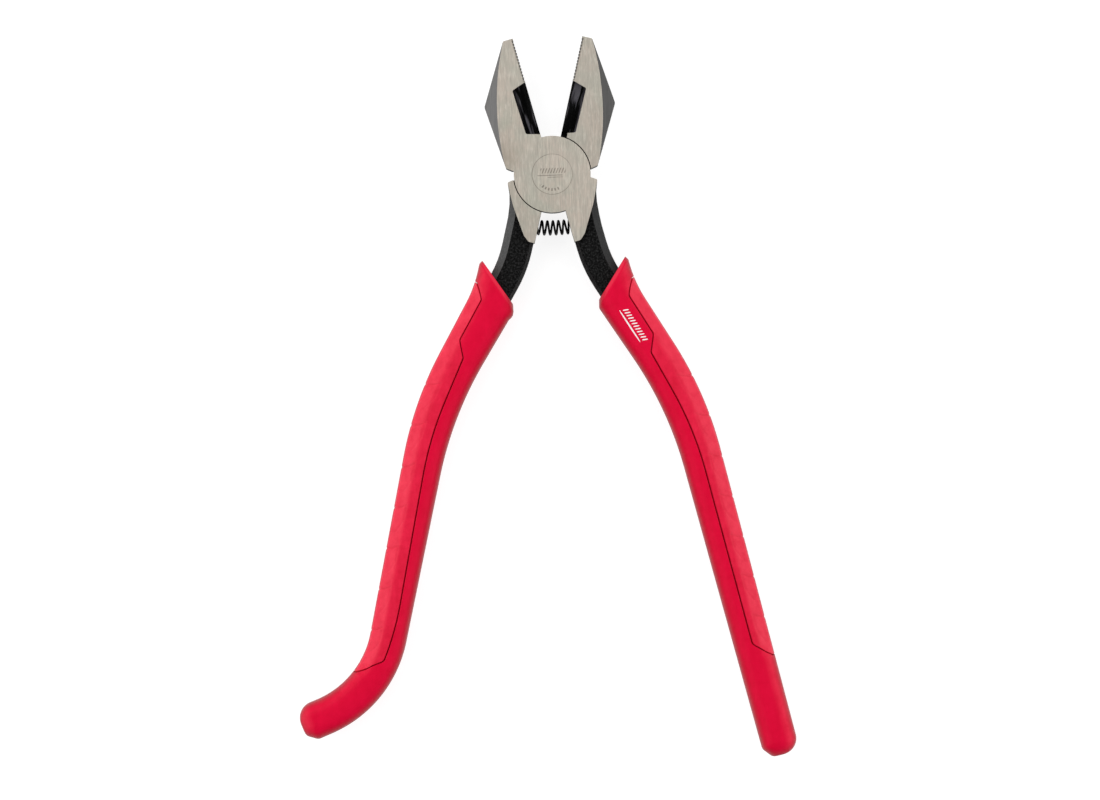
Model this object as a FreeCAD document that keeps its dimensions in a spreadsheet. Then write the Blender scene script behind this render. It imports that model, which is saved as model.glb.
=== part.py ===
"""Spring-loaded ironworker pliers: two forged halves, rivet, spring and moulded grips.

Lengths are millimetres.  The tool lies flat with the pivot axis on Z, the head's back
face on z = 0 and its front face on z = head_thickness.  +Y runs to the jaw tips along
the line that halves the opening, +X runs to the straight handle.

Each half is drawn closed, lying on the mating line x = 0 with its jaw on -X and its
handle on +X, and its lap recess open towards z = 0.  The front half is then turned
open about the pivot; the rear half is turned over about Y and opened the other way.
"""
import FreeCAD
import Part
import Sketcher
import math
import os

SIZES = [
    # head plate
    ("head_thickness", 16.0),
    ("half_opening", 14.2),
    ("bite_gap", 0.05),
    ("jaw_length", 44.1),
    ("jaw_tip_width", 3.2),
    ("jaw_tip_radius", 0.6),
    ("cheek_reach", 14.5),
    ("cheek_height", 26.1),
    ("cheek_radius", 1.2),
    ("heel_reach", 13.3),
    ("heel_height", 5.7),
    ("heel_radius", 0.8),
    ("notch_reach", 11.25),
    ("notch_height", 4.18),
    ("disc_radius", 12.0),
    ("lap_gap", 0.3),
    ("lap_play", 0.03),
    # ground bevels of the diamond nose
    ("bevel_centre_reach", 72.0),
    ("bevel_centre_height", 3.36),
    ("bevel_radius", 85.5),
    ("bevel_width", 8.0),
    ("bevel_slope", 55.8),
    # cutter
    ("cutter_top", 30.0),
    ("cutter_back_top", 28.5),
    ("cutter_back_bottom", 14.3),
    ("cutter_bottom", 13.0),
    ("cutter_depth", 4.7),
    ("cutter_back_taper", 0.3),
    ("cutter_corner_radius", 0.6),
    ("blade_root", 4.0),
    ("blade_half_height", 6.2),
    ("blade_edge", 0.15),
    ("relief_depth", 2.0),
    ("relief_top", 14.0),
    ("relief_bottom", 11.0),
    # gripping teeth
    ("tooth_start", 30.4),
    ("tooth_pitch", 1.0),
    ("tooth_depth", 0.55),
    ("tooth_share", 0.96),
    ("tooth_count", 13.0),
    # shoulder plate under the head
    ("shoulder_reach", 13.1),
    ("shoulder_drop", 5.5),
    ("shoulder_radius", 0.5),
    ("shoulder_waist_reach", 10.0),
    ("shoulder_waist_drop", 12.0),
    ("shoulder_waist_radius", 25.0),
    ("shoulder_foot_reach", 4.6),
    ("shoulder_foot_drop", 20.6),
    ("shoulder_foot_radius", 3.0),
    ("shoulder_end", 22.2),
    ("shoulder_end_width", 1.9),
    ("shoulder_end_radius", 1.2),
    ("tang_inner_gap", 0.85),
    # forged flank that runs from the shoulder's corner out into the tang
    ("flank_inside", 6.0),
    ("flank_top_reach", 12.9),
    ("flank_top_drop", 6.0),
    ("flank_upper_reach", 11.75),
    ("flank_upper_drop", 8.9),
    ("flank_middle_reach", 11.1),
    ("flank_middle_drop", 11.9),
    ("flank_lower_reach", 10.7),
    ("flank_lower_drop", 15.8),
    ("flank_end_drop", 19.5),
    # tang
    ("tang_offset", 5.73),
    ("tang_top", 8.0),
    ("tang_width", 9.5),
    ("tang_thickness", 11.0),
    ("tang_outer_chamfer", 2.2),
    ("tang_inner_chamfer", 1.0),
    ("core_width", 7.5),
    ("core_thickness", 8.0),
    ("core_chamfer", 1.5),
    ("neck_drop", 30.4),
    ("neck_radius", 38.4),
    ("splay", 17.0),
    ("splay_run", 51.3),
    ("tang_run", 15.0),
    ("handle_radius", 121.8),
    ("return_angle", 1.0),
    ("straight_core_run", 105.0),
    ("hook_shift", 0.2),
    ("hook_drop", 90.8),
    ("hook_angle", 55.2),
    ("hook_radius", 33.9),
    ("hook_core_run", 19.0),
    # rivet
    ("rivet_radius", 4.0),
    ("rivet_head_radius", 6.3),
    ("rivet_head_lip", 0.4),
    ("rivet_running_gap", 0.05),
    # return spring and the blind bores that hold its ends
    ("spring_drop", 16.6),
    ("spring_length", 18.0),
    ("spring_coil_radius", 2.1),
    ("spring_wire_radius", 0.3),
    ("spring_pitch", 1.78),
    ("seat_radius", 3.1),
    # moulded grips
    ("grip_thickness", 18.0),
    ("grip_half_width", 6.4),
    ("grip_end_outer_width", 5.5),
    ("grip_end_inner_width", 5.8),
    ("hook_heel_extra", 0.4),
    ("grip_inner_taper", 1.2),
    ("grip_edge_radius", 4.6),
    ("grip_end_radius", 5.0),
    ("grip_facet_across", 2.5),
    ("grip_facet_along", 3.2),
    ("grip_facet_radius", 2.0),
    ("grip_flare_reach", 15.5),
    ("grip_flare_drop", 39.5),
    ("grip_flare_radius", 40.0),
    ("mouth_tip_reach", 14.9),
    ("mouth_tip_drop", 30.8),
    ("mouth_tip_radius", 0.6),
    ("mouth_heel_reach", 2.5),
    ("mouth_heel_drop", 42.2),
    ("mouth_heel_radius", 1.2),
    ("mouth_heel_flat", 10.0),
    ("mouth_tip_run", 5.0),
    ("mouth_tip_fall", 6.0),
    ("hook_mouth_shift", 0.9),
    ("straight_grip_run", 114.7),
    ("hook_grip_run", 25.4),
    ("insert_depth", 2.4),
    ("insert_side_reach", 4.4),
    ("insert_back_reach", 8.3),
    ("insert_corner_radius", 2.0),
    ("seam_half_gap", 0.35),
    ("seam_corner_radius", 0.5),
    ("seam_waist_radius", 1.0),
    ("seam_foot_radius", 2.0),
    ("seam_end_shift_rate", 1.4),
    ("seam_top_reach", 12.6),
    ("seam_top_drop", 43.0),
    ("seam_top_run", 8.0),
    ("seam_top_slope", 2.0),
    ("seam_point_reach", 16.6),
    ("seam_point_drop", 56.5),
    ("seam_waist_reach", 14.1),
    ("seam_waist_drop", 62.0),
    ("seam_bend_reach", 20.4),
    ("seam_bend_drop", 88.5),
    ("seam_bend_radius", 110.0),
    ("seam_foot_reach", 19.1),
    ("seam_foot_drop", 158.3),
    ("seam_end_reach", 27.0),
    ("seam_end_drop", 165.6),
    ("hook_seam_bend_shift", -0.45),
    ("hook_seam_ankle_reach", 17.7),
    ("hook_seam_ankle_drop", 149.0),
    ("hook_seam_ankle_radius", 20.0),
    ("hook_seam_foot_reach", 19.2),
    ("hook_seam_foot_drop", 159.7),
    ("hook_seam_end_reach", 33.8),
    ("hook_seam_end_drop", 168.8),
]

SMALLEST_CHANGE = 0.01
SAME_PLACE = 1e-6


class Size:
    """A length or an angle in degrees, with the sheet expression it comes from."""

    def __init__(self, value, text):
        self.value = value
        self.text = text

    def join(self, sign, other, value):
        return Size(value, f"({self.text} {sign} {other.text})")

    def __add__(self, other):
        other = size(other)
        return self.join("+", other, self.value + other.value)

    def __sub__(self, other):
        other = size(other)
        return self.join("-", other, self.value - other.value)

    def __mul__(self, other):
        other = size(other)
        return self.join("*", other, self.value * other.value)

    def __truediv__(self, other):
        other = size(other)
        return self.join("/", other, self.value / other.value)

    def __neg__(self):
        return Size(-self.value, f"(-1 * {self.text})")


def size(number):
    """Return a number as a Size; a Size comes back unchanged."""
    if isinstance(number, Size):
        return number
    return Size(float(number), f"({number})")


def sine(angle):
    return Size(math.sin(math.radians(angle.value)), f"sin({angle.text})")


def cosine(angle):
    return Size(math.cos(math.radians(angle.value)), f"cos({angle.text})")


def tangent(angle):
    return Size(math.tan(math.radians(angle.value)), f"tan({angle.text})")


class Sizes:
    """The driving sizes, by name."""


def fill_sheet(doc):
    """Put every driving size in the sheet under its name."""
    sheet = doc.addObject("Spreadsheet::Sheet", "Sizes")
    sizes = Sizes()
    for row, (name, value) in enumerate(SIZES, start=1):
        sheet.set(f"A{row}", name)
        sheet.set(f"B{row}", str(value))
        sheet.setAlias(f"B{row}", name)
        setattr(sizes, name, Size(value, f"Sizes.{name}"))
    doc.recompute()
    return sizes


def bind(feature, field, amount):
    feature.setExpression(field, size(amount).text)


# ---------------------------------------------------------------- sketch helpers


def new_body(doc, name):
    body = doc.addObject("PartDesign::Body", name)
    body.Label = name
    return body


def new_sketch(body, name, plane, lift=0, turn=None):
    """Start a sketch on an origin plane of the body, lifted along its normal."""
    sketch = body.newObject("Sketcher::SketchObject", name)
    support = [f for f in body.Origin.OriginFeatures if f.Role == plane][0]
    sketch.AttachmentSupport = [(support, "")]
    sketch.MapMode = "FlatFace"
    bind(sketch, "AttachmentOffset.Base.z", lift)
    if turn is not None:
        sketch.setExpression("AttachmentOffset.Rotation.Axis.y", "1")
        sketch.setExpression("AttachmentOffset.Rotation.Axis.z", "0")
        bind(sketch, "AttachmentOffset.Rotation.Angle", turn)
    return sketch


def limit(sketch, kind, first, first_end, second, second_end, amount):
    """Add one dimension and bind it to its size."""
    amount = size(amount)
    rule = Sketcher.Constraint(kind, first, first_end, second, second_end, amount.value)
    number = sketch.addConstraint(rule)
    sketch.setExpression(f"Constraints[{number}]", amount.text)


def fix_point(sketch, geometry, end, x, y):
    limit(sketch, "DistanceX", -1, 1, geometry, end, x)
    limit(sketch, "DistanceY", -1, 1, geometry, end, y)


def set_radius(sketch, geometry, radius):
    radius = size(radius)
    number = sketch.addConstraint(Sketcher.Constraint("Radius", geometry, radius.value))
    sketch.setExpression(f"Constraints[{number}]", radius.text)


def add_circle(sketch, x, y, radius):
    centre = FreeCAD.Vector(size(x).value, size(y).value, 0)
    normal = FreeCAD.Vector(0, 0, 1)
    circle = sketch.addGeometry(Part.Circle(centre, normal, size(radius).value))
    fix_point(sketch, circle, 3, x, y)
    set_radius(sketch, circle, radius)


def rounding(before, corner, after, radius):
    """Return where a rounded corner starts, ends, has its centre, and its side."""
    arriving = (corner - before).normalize()
    leaving = (after - corner).normalize()
    turn = arriving.getAngle(leaving)
    reach = radius * math.tan(turn / 2)
    start = corner - arriving * reach
    end = corner + leaving * reach
    left = arriving.cross(leaving).z > 0
    side = FreeCAD.Vector(-arriving.y, arriving.x, 0) * (1 if left else -1)
    return start, end, start + side * radius, left


def trace(sketch, corners, closed=True):
    """Draw straight runs through (x, y, radius) corners; radius 0 leaves one sharp."""
    corners = [tuple(size(part) for part in corner) for corner in corners]
    points = [FreeCAD.Vector(x.value, y.value, 0) for x, y, radius in corners]
    count = len(corners)
    starts = []
    ends = []
    bends = []
    for index, (x, y, radius) in enumerate(corners):
        start = end = points[index]
        bend = None
        if radius.value > 0:
            before = points[index - 1]
            after = points[(index + 1) % count]
            start, end, centre, left = rounding(before, points[index], after, radius.value)
            bend = (centre, left)
        starts.append(start)
        ends.append(end)
        bends.append(bend)
    runs = []
    arcs = {}
    for index in range(count if closed else count - 1):
        following = (index + 1) % count
        line = Part.LineSegment(ends[index], starts[following])
        runs.append(sketch.addGeometry(line))
        if bends[following] is not None:
            arcs[following] = add_arc(sketch, starts[following], ends[following], bends[following])
    for index, (x, y, radius) in enumerate(corners):
        arriving = runs[index - 1] if closed or index > 0 else None
        leaving = runs[index] if closed or index < count - 1 else None
        if index in arcs:
            hold_bend(sketch, arcs[index], arriving, leaving, x, y, radius)
        elif arriving is None:
            fix_point(sketch, leaving, 1, x, y)
        else:
            fix_point(sketch, arriving, 2, x, y)
            if leaving is not None:
                sketch.addConstraint(Sketcher.Constraint("Coincident", arriving, 2, leaving, 1))


def add_arc(sketch, start, end, bend):
    """Add the arc of one rounded corner; return it with its entry and exit ends."""
    centre, left = bend
    first, last = (start, end) if left else (end, start)
    opening = math.atan2(first.y - centre.y, first.x - centre.x)
    closing = math.atan2(last.y - centre.y, last.x - centre.x)
    if closing < opening:
        closing += 2 * math.pi
    circle = Part.Circle(centre, FreeCAD.Vector(0, 0, 1), (start - centre).Length)
    arc = sketch.addGeometry(Part.ArcOfCircle(circle, opening, closing))
    return (arc, 1, 2) if left else (arc, 2, 1)


def hold_bend(sketch, bend, arriving, leaving, x, y, radius):
    """Hold a rounded corner on its two runs, with its radius."""
    arc, entry, outlet = bend
    corner = sketch.addGeometry(Part.Point(FreeCAD.Vector(x.value, y.value, 0)), True)
    fix_point(sketch, corner, 1, x, y)
    sketch.addConstraint(Sketcher.Constraint("PointOnObject", corner, 1, arriving))
    sketch.addConstraint(Sketcher.Constraint("PointOnObject", corner, 1, leaving))
    sketch.addConstraint(Sketcher.Constraint("Tangent", arriving, 2, arc, entry))
    sketch.addConstraint(Sketcher.Constraint("Tangent", arc, outlet, leaving, 1))
    set_radius(sketch, arc, radius)


# --------------------------------------------------------------- feature helpers


def extrude(body, kind, name, sketch, length, flipped=False, centred=False):
    """Add a Pad or Pocket of the sketch."""
    feature = body.newObject(f"PartDesign::{kind}", name)
    feature.Profile = sketch
    feature.Reversed = flipped
    feature.Midplane = centred
    bind(feature, "Length", length)
    body.Tip = feature
    return feature


def sweep(body, kind, name, section, path):
    """Sweep the section sketch along the path sketch, upright all the way."""
    feature = body.newObject(f"PartDesign::{kind}", name)
    feature.Profile = section
    edges = [f"Edge{number + 1}" for number in range(len(path.Shape.Edges))]
    feature.Spine = (path, edges)
    feature.Mode = "Binormal"
    feature.Binormal = FreeCAD.Vector(0, 0, 1)
    body.Tip = feature
    return feature


def must_change(doc, body, before, gained, feature):
    """Recompute and stop if a feature has left the volume as it was."""
    doc.recompute()
    change = body.Shape.Volume - before
    if (change > 0) != gained or abs(change) < SMALLEST_CHANGE:
        raise RuntimeError(f"{feature.Name} changed the volume by {change:.3f}")
    return body.Shape.Volume


# -------------------------------------------------------------------- handle run


def go(point, heading, distance):
    """Step from a point along a heading measured from -Y towards +X."""
    return (
        point[0] + sine(heading) * distance,
        point[1] - cosine(heading) * distance,
    )


def beside(point, arriving, leaving, reach):
    """Return the corner of a run drawn beside the centre line on its outer side."""
    spread = cosine(arriving - leaving) + 1
    return (
        point[0] + (cosine(arriving) + cosine(leaving)) * reach / spread,
        point[1] + (sine(arriving) + sine(leaving)) * reach / spread,
    )


def handle_corners(s, hooked):
    """Return the two upper corners of a handle's centre line."""
    offset = s.tang_offset + s.hook_shift if hooked else s.tang_offset
    neck = (offset, -s.neck_drop)
    return neck, go(neck, s.splay, s.splay_run)


def centre_path(s, hooked):
    """Return the centre line of the whole tang, as corners with radii."""
    neck, elbow = handle_corners(s, hooked)
    back = -s.return_angle
    path = [(neck[0], -s.tang_top, 0), (*neck, s.neck_radius), (*elbow, s.handle_radius)]
    if not hooked:
        path.append((*go(elbow, back, s.straight_core_run), 0))
        return path
    bend = go(elbow, back, s.hook_drop)
    path.append((*bend, s.hook_radius))
    path.append((*go(bend, s.hook_angle, s.hook_core_run), 0))
    return path


# ------------------------------------------------------------------ forged halves


def add_jaw(doc, body, s):
    """Jaw plate with the two ground bevels of the diamond nose."""
    outline = new_sketch(body, f"{body.Name}_jaw_outline", "XY_Plane")
    trace(outline, [
        (-s.bite_gap, s.jaw_length, 0),
        (-s.jaw_tip_width, s.jaw_length, s.jaw_tip_radius),
        (-s.cheek_reach, s.cheek_height, s.cheek_radius),
        (-s.heel_reach, s.heel_height, s.heel_radius),
        (-s.notch_reach, s.notch_height, 0),
        (-s.bite_gap, 0, 0),
    ])
    extrude(body, "Pad", f"{body.Name}_jaw", outline, s.head_thickness)
    doc.recompute()
    volume = body.Shape.Volume
    profile = new_sketch(body, f"{body.Name}_bevel_profile", "XZ_Plane", -s.bevel_centre_height)
    edge = s.bevel_centre_reach - s.bevel_radius
    drop = s.bevel_width * tangent(s.bevel_slope)
    for face, sign in ((s.head_thickness, -1), (size(0), 1)):
        trace(profile, [
            (edge, face, 0),
            (edge - s.bevel_width, face, 0),
            (edge - s.bevel_width, face + drop * sign, 0),
        ])
    axis = Part.LineSegment(
        FreeCAD.Vector(s.bevel_centre_reach.value, 0, 0),
        FreeCAD.Vector(s.bevel_centre_reach.value, s.head_thickness.value, 0),
    )
    line = profile.addGeometry(axis, True)
    fix_point(profile, line, 1, s.bevel_centre_reach, 0)
    fix_point(profile, line, 2, s.bevel_centre_reach, s.head_thickness)
    groove = body.newObject("PartDesign::Groove", f"{body.Name}_bevels")
    groove.Profile = profile
    groove.ReferenceAxis = (profile, ["Axis0"])
    groove.Angle = 360
    body.Tip = groove
    must_change(doc, body, volume, False, groove)


def add_disc_and_shoulder(doc, body, s):
    """Pivot disc, and the ground shoulder that runs down on to the tang."""
    disc = new_sketch(body, f"{body.Name}_disc_outline", "XY_Plane")
    add_circle(disc, 0, 0, s.disc_radius)
    extrude(body, "Pad", f"{body.Name}_disc", disc, s.head_thickness)
    outline = new_sketch(body, f"{body.Name}_shoulder_outline", "XY_Plane")
    trace(outline, [
        (s.tang_inner_gap, 0, 0),
        (s.notch_reach, -s.notch_height, 0),
        (s.shoulder_reach, -s.shoulder_drop, s.shoulder_radius),
        (s.shoulder_waist_reach, -s.shoulder_waist_drop, s.shoulder_waist_radius),
        (s.shoulder_foot_reach, -s.shoulder_foot_drop, s.shoulder_foot_radius),
        (s.tang_inner_gap + s.shoulder_end_width, -s.shoulder_end, s.shoulder_end_radius),
        (s.tang_inner_gap, -s.shoulder_end, 0),
    ])
    extrude(body, "Pad", f"{body.Name}_shoulder", outline, s.head_thickness)
    doc.recompute()


def add_flank(doc, body, s, hooked):
    """Forged side of the shoulder, chamfered like the tang that it runs into."""
    volume = body.Shape.Volume
    tang_side = handle_corners(s, hooked)[0][0] + s.tang_width / 2
    middle = s.head_thickness / 2
    high = s.tang_thickness / 2
    low = high - s.tang_outer_chamfer
    layers = []
    for lift, inset in ((-high, s.tang_outer_chamfer), (-low, 0), (low, 0), (high, s.tang_outer_chamfer)):
        layer = new_sketch(body, f"{body.Name}_flank_{len(layers)}", "XY_Plane", middle + lift)
        trace(layer, [
            (s.flank_inside, -s.flank_top_drop, 0),
            (s.flank_top_reach - inset, -s.flank_top_drop, 0),
            (s.flank_upper_reach - inset, -s.flank_upper_drop, 0),
            (s.flank_middle_reach - inset, -s.flank_middle_drop, 0),
            (s.flank_lower_reach - inset, -s.flank_lower_drop, 0),
            (tang_side - inset, -s.flank_end_drop, 0),
            (s.flank_inside, -s.flank_end_drop, 0),
        ])
        layers.append(layer)
    flank = body.newObject("PartDesign::AdditiveLoft", f"{body.Name}_flank")
    flank.Profile = layers[0]
    flank.Sections = layers[1:]
    flank.Ruled = True
    body.Tip = flank
    must_change(doc, body, volume, True, flank)


def section_corners(x, z, half_width, half_height, outer, inner):
    """Return a rectangle with its outer and inner corners chamfered."""
    return [
        (x + half_width, z - half_height + outer, 0),
        (x + half_width, z + half_height - outer, 0),
        (x + half_width - outer, z + half_height, 0),
        (x - half_width + inner, z + half_height, 0),
        (x - half_width, z + half_height - inner, 0),
        (x - half_width, z - half_height + inner, 0),
        (x - half_width + inner, z - half_height, 0),
        (x + half_width - outer, z - half_height, 0),
    ]


def add_tang(doc, body, s, hooked):
    """Forged tang down to the grip, and the slimmer core that runs inside it."""
    volume = body.Shape.Volume
    neck, elbow = handle_corners(s, hooked)
    offset = neck[0]
    middle = s.head_thickness / 2
    short_path = centre_path(s, hooked)[:2] + [(*go(neck, s.splay, s.tang_run), 0)]
    runs = [
        ("tang", s.tang_width, s.tang_thickness, s.tang_outer_chamfer, s.tang_inner_chamfer,
         short_path),
        ("core", s.core_width, s.core_thickness, s.core_chamfer, s.core_chamfer,
         centre_path(s, hooked)),
    ]
    for label, width, thickness, outer, inner, corners in runs:
        path = new_sketch(body, f"{body.Name}_{label}_path", "XY_Plane", middle)
        trace(path, corners, closed=False)
        section = new_sketch(body, f"{body.Name}_{label}_section", "XZ_Plane", s.tang_top)
        trace(section, section_corners(offset, middle, width / 2, thickness / 2, outer, inner))
        doc.recompute()
        pipe = sweep(body, "AdditivePipe", f"{body.Name}_{label}", section, path)
        volume = must_change(doc, body, volume, True, pipe)


def cut_lap(doc, body, s):
    """Open the round recess that the other half's disc turns in."""
    volume = body.Shape.Volume
    middle = s.head_thickness / 2
    lap = new_sketch(body, f"{body.Name}_lap_outline", "XY_Plane")
    add_circle(lap, 0, 0, s.disc_radius + s.lap_gap)
    pocket = extrude(body, "Pocket", f"{body.Name}_lap", lap, middle + s.lap_play, flipped=True)
    must_change(doc, body, volume, False, pocket)


def bore_for_rivet(doc, body, s, gap):
    """Bore and countersink the disc; the gap is the running clearance."""
    volume = body.Shape.Volume
    rise = s.rivet_head_radius - s.rivet_radius
    face = s.head_thickness
    profile = new_sketch(body, f"{body.Name}_rivet_profile", "XZ_Plane")
    trace(profile, [
        (0, 0, 0),
        (s.rivet_radius + gap, 0, 0),
        (s.rivet_radius + gap, face - s.rivet_head_lip - rise - gap, 0),
        (s.rivet_head_radius + gap, face - s.rivet_head_lip - gap, 0),
        (s.rivet_head_radius + gap, face + s.rivet_head_lip, 0),
        (0, face + s.rivet_head_lip, 0),
    ])
    groove = body.newObject("PartDesign::Groove", f"{body.Name}_rivet_bore")
    groove.Profile = profile
    groove.ReferenceAxis = (profile, ["V_Axis"])
    groove.Angle = 360
    body.Tip = groove
    must_change(doc, body, volume, False, groove)


def add_cutter(doc, body, s):
    """Side-cutter recess right through the jaw, with its blade on the mid-plane."""
    volume = body.Shape.Volume
    middle = s.head_thickness / 2
    outline = new_sketch(body, f"{body.Name}_cutter_outline", "XY_Plane")
    trace(outline, [
        (s.jaw_tip_width, s.cutter_top, 0),
        (-s.bite_gap, s.cutter_top, 0),
        (-s.cutter_depth, s.cutter_back_top, s.cutter_corner_radius),
        (-s.cutter_depth + s.cutter_back_taper, s.cutter_back_bottom, s.cutter_corner_radius),
        (-s.bite_gap, s.cutter_bottom, 0),
        (s.jaw_tip_width, s.cutter_bottom, 0),
    ])
    pocket = extrude(body, "Pocket", f"{body.Name}_cutter", outline, s.head_thickness, flipped=True)
    volume = must_change(doc, body, volume, False, pocket)
    root = -s.cutter_depth - s.cutter_back_taper
    blade = new_sketch(body, f"{body.Name}_blade_section", "XZ_Plane", -s.cutter_bottom)
    trace(blade, [
        (root, middle - s.blade_half_height, 0),
        (-s.blade_root, middle - s.blade_half_height, 0),
        (-s.bite_gap, middle - s.blade_edge, 0),
        (-s.bite_gap, middle + s.blade_edge, 0),
        (-s.blade_root, middle + s.blade_half_height, 0),
        (root, middle + s.blade_half_height, 0),
    ])
    length = s.cutter_top - s.cutter_bottom
    pad = extrude(body, "Pad", f"{body.Name}_blade", blade, length, flipped=True)
    volume = must_change(doc, body, volume, True, pad)
    relief = new_sketch(body, f"{body.Name}_relief_outline", "XY_Plane")
    trace(relief, [
        (s.relief_depth, s.relief_bottom, 0),
        (s.relief_depth, s.relief_top, 0),
        (-s.relief_depth, s.relief_top, 0),
        (-s.relief_depth, s.relief_bottom, 0),
    ])
    pocket = extrude(body, "Pocket", f"{body.Name}_relief", relief, middle, flipped=True)
    must_change(doc, body, volume, False, pocket)


def cut_teeth(doc, body, s):
    """Cross grooves of the gripping face, one cut repeated towards the tip."""
    volume = body.Shape.Volume
    outline = new_sketch(body, f"{body.Name}_tooth_outline", "XY_Plane")
    top = s.tooth_start + s.tooth_pitch * s.tooth_share
    trace(outline, [
        (s.tooth_depth, s.tooth_start, 0),
        (-s.bite_gap, s.tooth_start, 0),
        (-s.bite_gap - s.tooth_depth, s.tooth_start + s.tooth_pitch / 2, 0),
        (-s.bite_gap, top, 0),
        (s.tooth_depth, top, 0),
    ])
    tooth = extrude(body, "Pocket", f"{body.Name}_tooth", outline, s.head_thickness, flipped=True)
    volume = must_change(doc, body, volume, False, tooth)
    pattern = body.newObject("PartDesign::LinearPattern", f"{body.Name}_teeth")
    pattern.Originals = [tooth]
    pattern.Direction = (outline, ["V_Axis"])
    bind(pattern, "Length", s.tooth_pitch * (s.tooth_count - 1))
    bind(pattern, "Occurrences", s.tooth_count)
    body.Tip = pattern
    must_change(doc, body, volume, False, pattern)


def bore_spring_seat(doc, body, s):
    """Blind bore in the tang's inner side, in line with the spring at rest."""
    volume = body.Shape.Volume
    seat = new_sketch(body, f"{body.Name}_seat_circle", "YZ_Plane", 0, -s.half_opening)
    add_circle(seat, -s.spring_drop, s.head_thickness / 2, s.seat_radius)
    pocket = extrude(body, "Pocket", f"{body.Name}_seat", seat, s.spring_length / 2, flipped=True)
    must_change(doc, body, volume, False, pocket)


def place_half(part, s, rear):
    """Turn a part drawn with the closed half into its open rest place."""
    if rear:
        part.setExpression("Placement.Base.z", s.head_thickness.text)
        part.setExpression("Placement.Rotation.Axis.x", sine(s.half_opening / 2).text)
        part.setExpression("Placement.Rotation.Axis.y", cosine(s.half_opening / 2).text)
        part.setExpression("Placement.Rotation.Axis.z", "0")
        part.setExpression("Placement.Rotation.Angle", "180")
    else:
        bind(part, "Placement.Rotation.Angle", s.half_opening)


def make_half(doc, s, name, rear):
    """One forged half: jaw, disc, shoulder, tang, cutter, teeth and bores."""
    body = new_body(doc, name)
    add_jaw(doc, body, s)
    add_disc_and_shoulder(doc, body, s)
    add_flank(doc, body, s, rear)
    add_tang(doc, body, s, rear)
    cut_lap(doc, body, s)
    bore_for_rivet(doc, body, s, s.rivet_running_gap if rear else size(0))
    add_cutter(doc, body, s)
    cut_teeth(doc, body, s)
    bore_spring_seat(doc, body, s)
    place_half(body, s, rear)
    doc.recompute()
    return body


# --------------------------------------------------------------- rivet and spring


def make_rivet(doc, s):
    """Rivet with two flush countersunk heads."""
    body = new_body(doc, "pivot_rivet")
    rise = s.rivet_head_radius - s.rivet_radius
    profile = new_sketch(body, "rivet_profile", "XZ_Plane")
    trace(profile, [
        (0, 0, 0),
        (s.rivet_head_radius, 0, 0),
        (s.rivet_head_radius, s.rivet_head_lip, 0),
        (s.rivet_radius, s.rivet_head_lip + rise, 0),
        (s.rivet_radius, s.head_thickness - s.rivet_head_lip - rise, 0),
        (s.rivet_head_radius, s.head_thickness - s.rivet_head_lip, 0),
        (s.rivet_head_radius, s.head_thickness, 0),
        (0, s.head_thickness, 0),
    ])
    turned = body.newObject("PartDesign::Revolution", "rivet_turned")
    turned.Profile = profile
    turned.ReferenceAxis = (profile, ["V_Axis"])
    turned.Angle = 360
    body.Tip = turned
    return body


def make_spring(doc, s):
    """Compression spring across the two tangs, drawn along X."""
    body = new_body(doc, "return_spring")
    section = new_sketch(body, "wire_section", "XY_Plane")
    start = s.spring_wire_radius - s.spring_length / 2
    add_circle(section, start, s.spring_coil_radius, s.spring_wire_radius)
    coil = body.newObject("PartDesign::AdditiveHelix", "coil")
    coil.Profile = section
    coil.ReferenceAxis = (section, ["H_Axis"])
    coil.Mode = "pitch-height-angle"
    bind(coil, "Pitch", s.spring_pitch)
    bind(coil, "Height", s.spring_length - s.spring_wire_radius * 2)
    body.Tip = coil
    body.setExpression("Placement.Base.y", (-s.spring_drop).text)
    body.setExpression("Placement.Base.z", (s.head_thickness / 2).text)
    return body


# -------------------------------------------------------------------------- grips


def grip_outline(s, hooked):
    """Return the grip's outline before its mouth is cut, as corners with radii."""
    neck, elbow = handle_corners(s, hooked)
    back = -s.return_angle
    outside = s.grip_end_outer_width
    inside = -s.grip_end_inner_width
    flare = s.grip_flare_reach + s.hook_mouth_shift if hooked else s.grip_flare_reach
    outer_elbow = beside(elbow, s.splay, back, s.grip_half_width)
    inner_elbow = beside(elbow, s.splay, back, -s.grip_half_width)
    outer = [
        (flare, -s.neck_drop / 2, 0),
        (flare, -s.grip_flare_drop, s.grip_flare_radius),
        (*outer_elbow, s.handle_radius - s.grip_half_width),
    ]
    inner = [(*inner_elbow, s.handle_radius - s.grip_half_width)]
    end = go(elbow, back, s.straight_grip_run)
    heading = back
    if hooked:
        bend = go(elbow, back, s.hook_drop)
        end = go(bend, s.hook_angle, s.hook_grip_run)
        heading = s.hook_angle
        outer.append((*beside(bend, back, heading, outside), s.hook_radius - outside))
        inner.insert(0, (*beside(bend, back, heading, inside), s.hook_radius - inside))
        inside = inside - s.hook_heel_extra
    outer.append((*beside(end, heading, heading, outside), s.grip_end_radius))
    facet_start = beside(go(end, heading, -s.grip_facet_along), heading, heading, inside)
    inner.insert(0, (*facet_start, s.grip_facet_radius))
    facet_end = beside(end, heading, heading, inside + s.grip_facet_across)
    inner.insert(0, (*facet_end, s.grip_facet_radius))
    top = go(inner_elbow, s.splay + s.grip_inner_taper, -s.splay_run)
    return outer + inner + [(*top, 0)]


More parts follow.
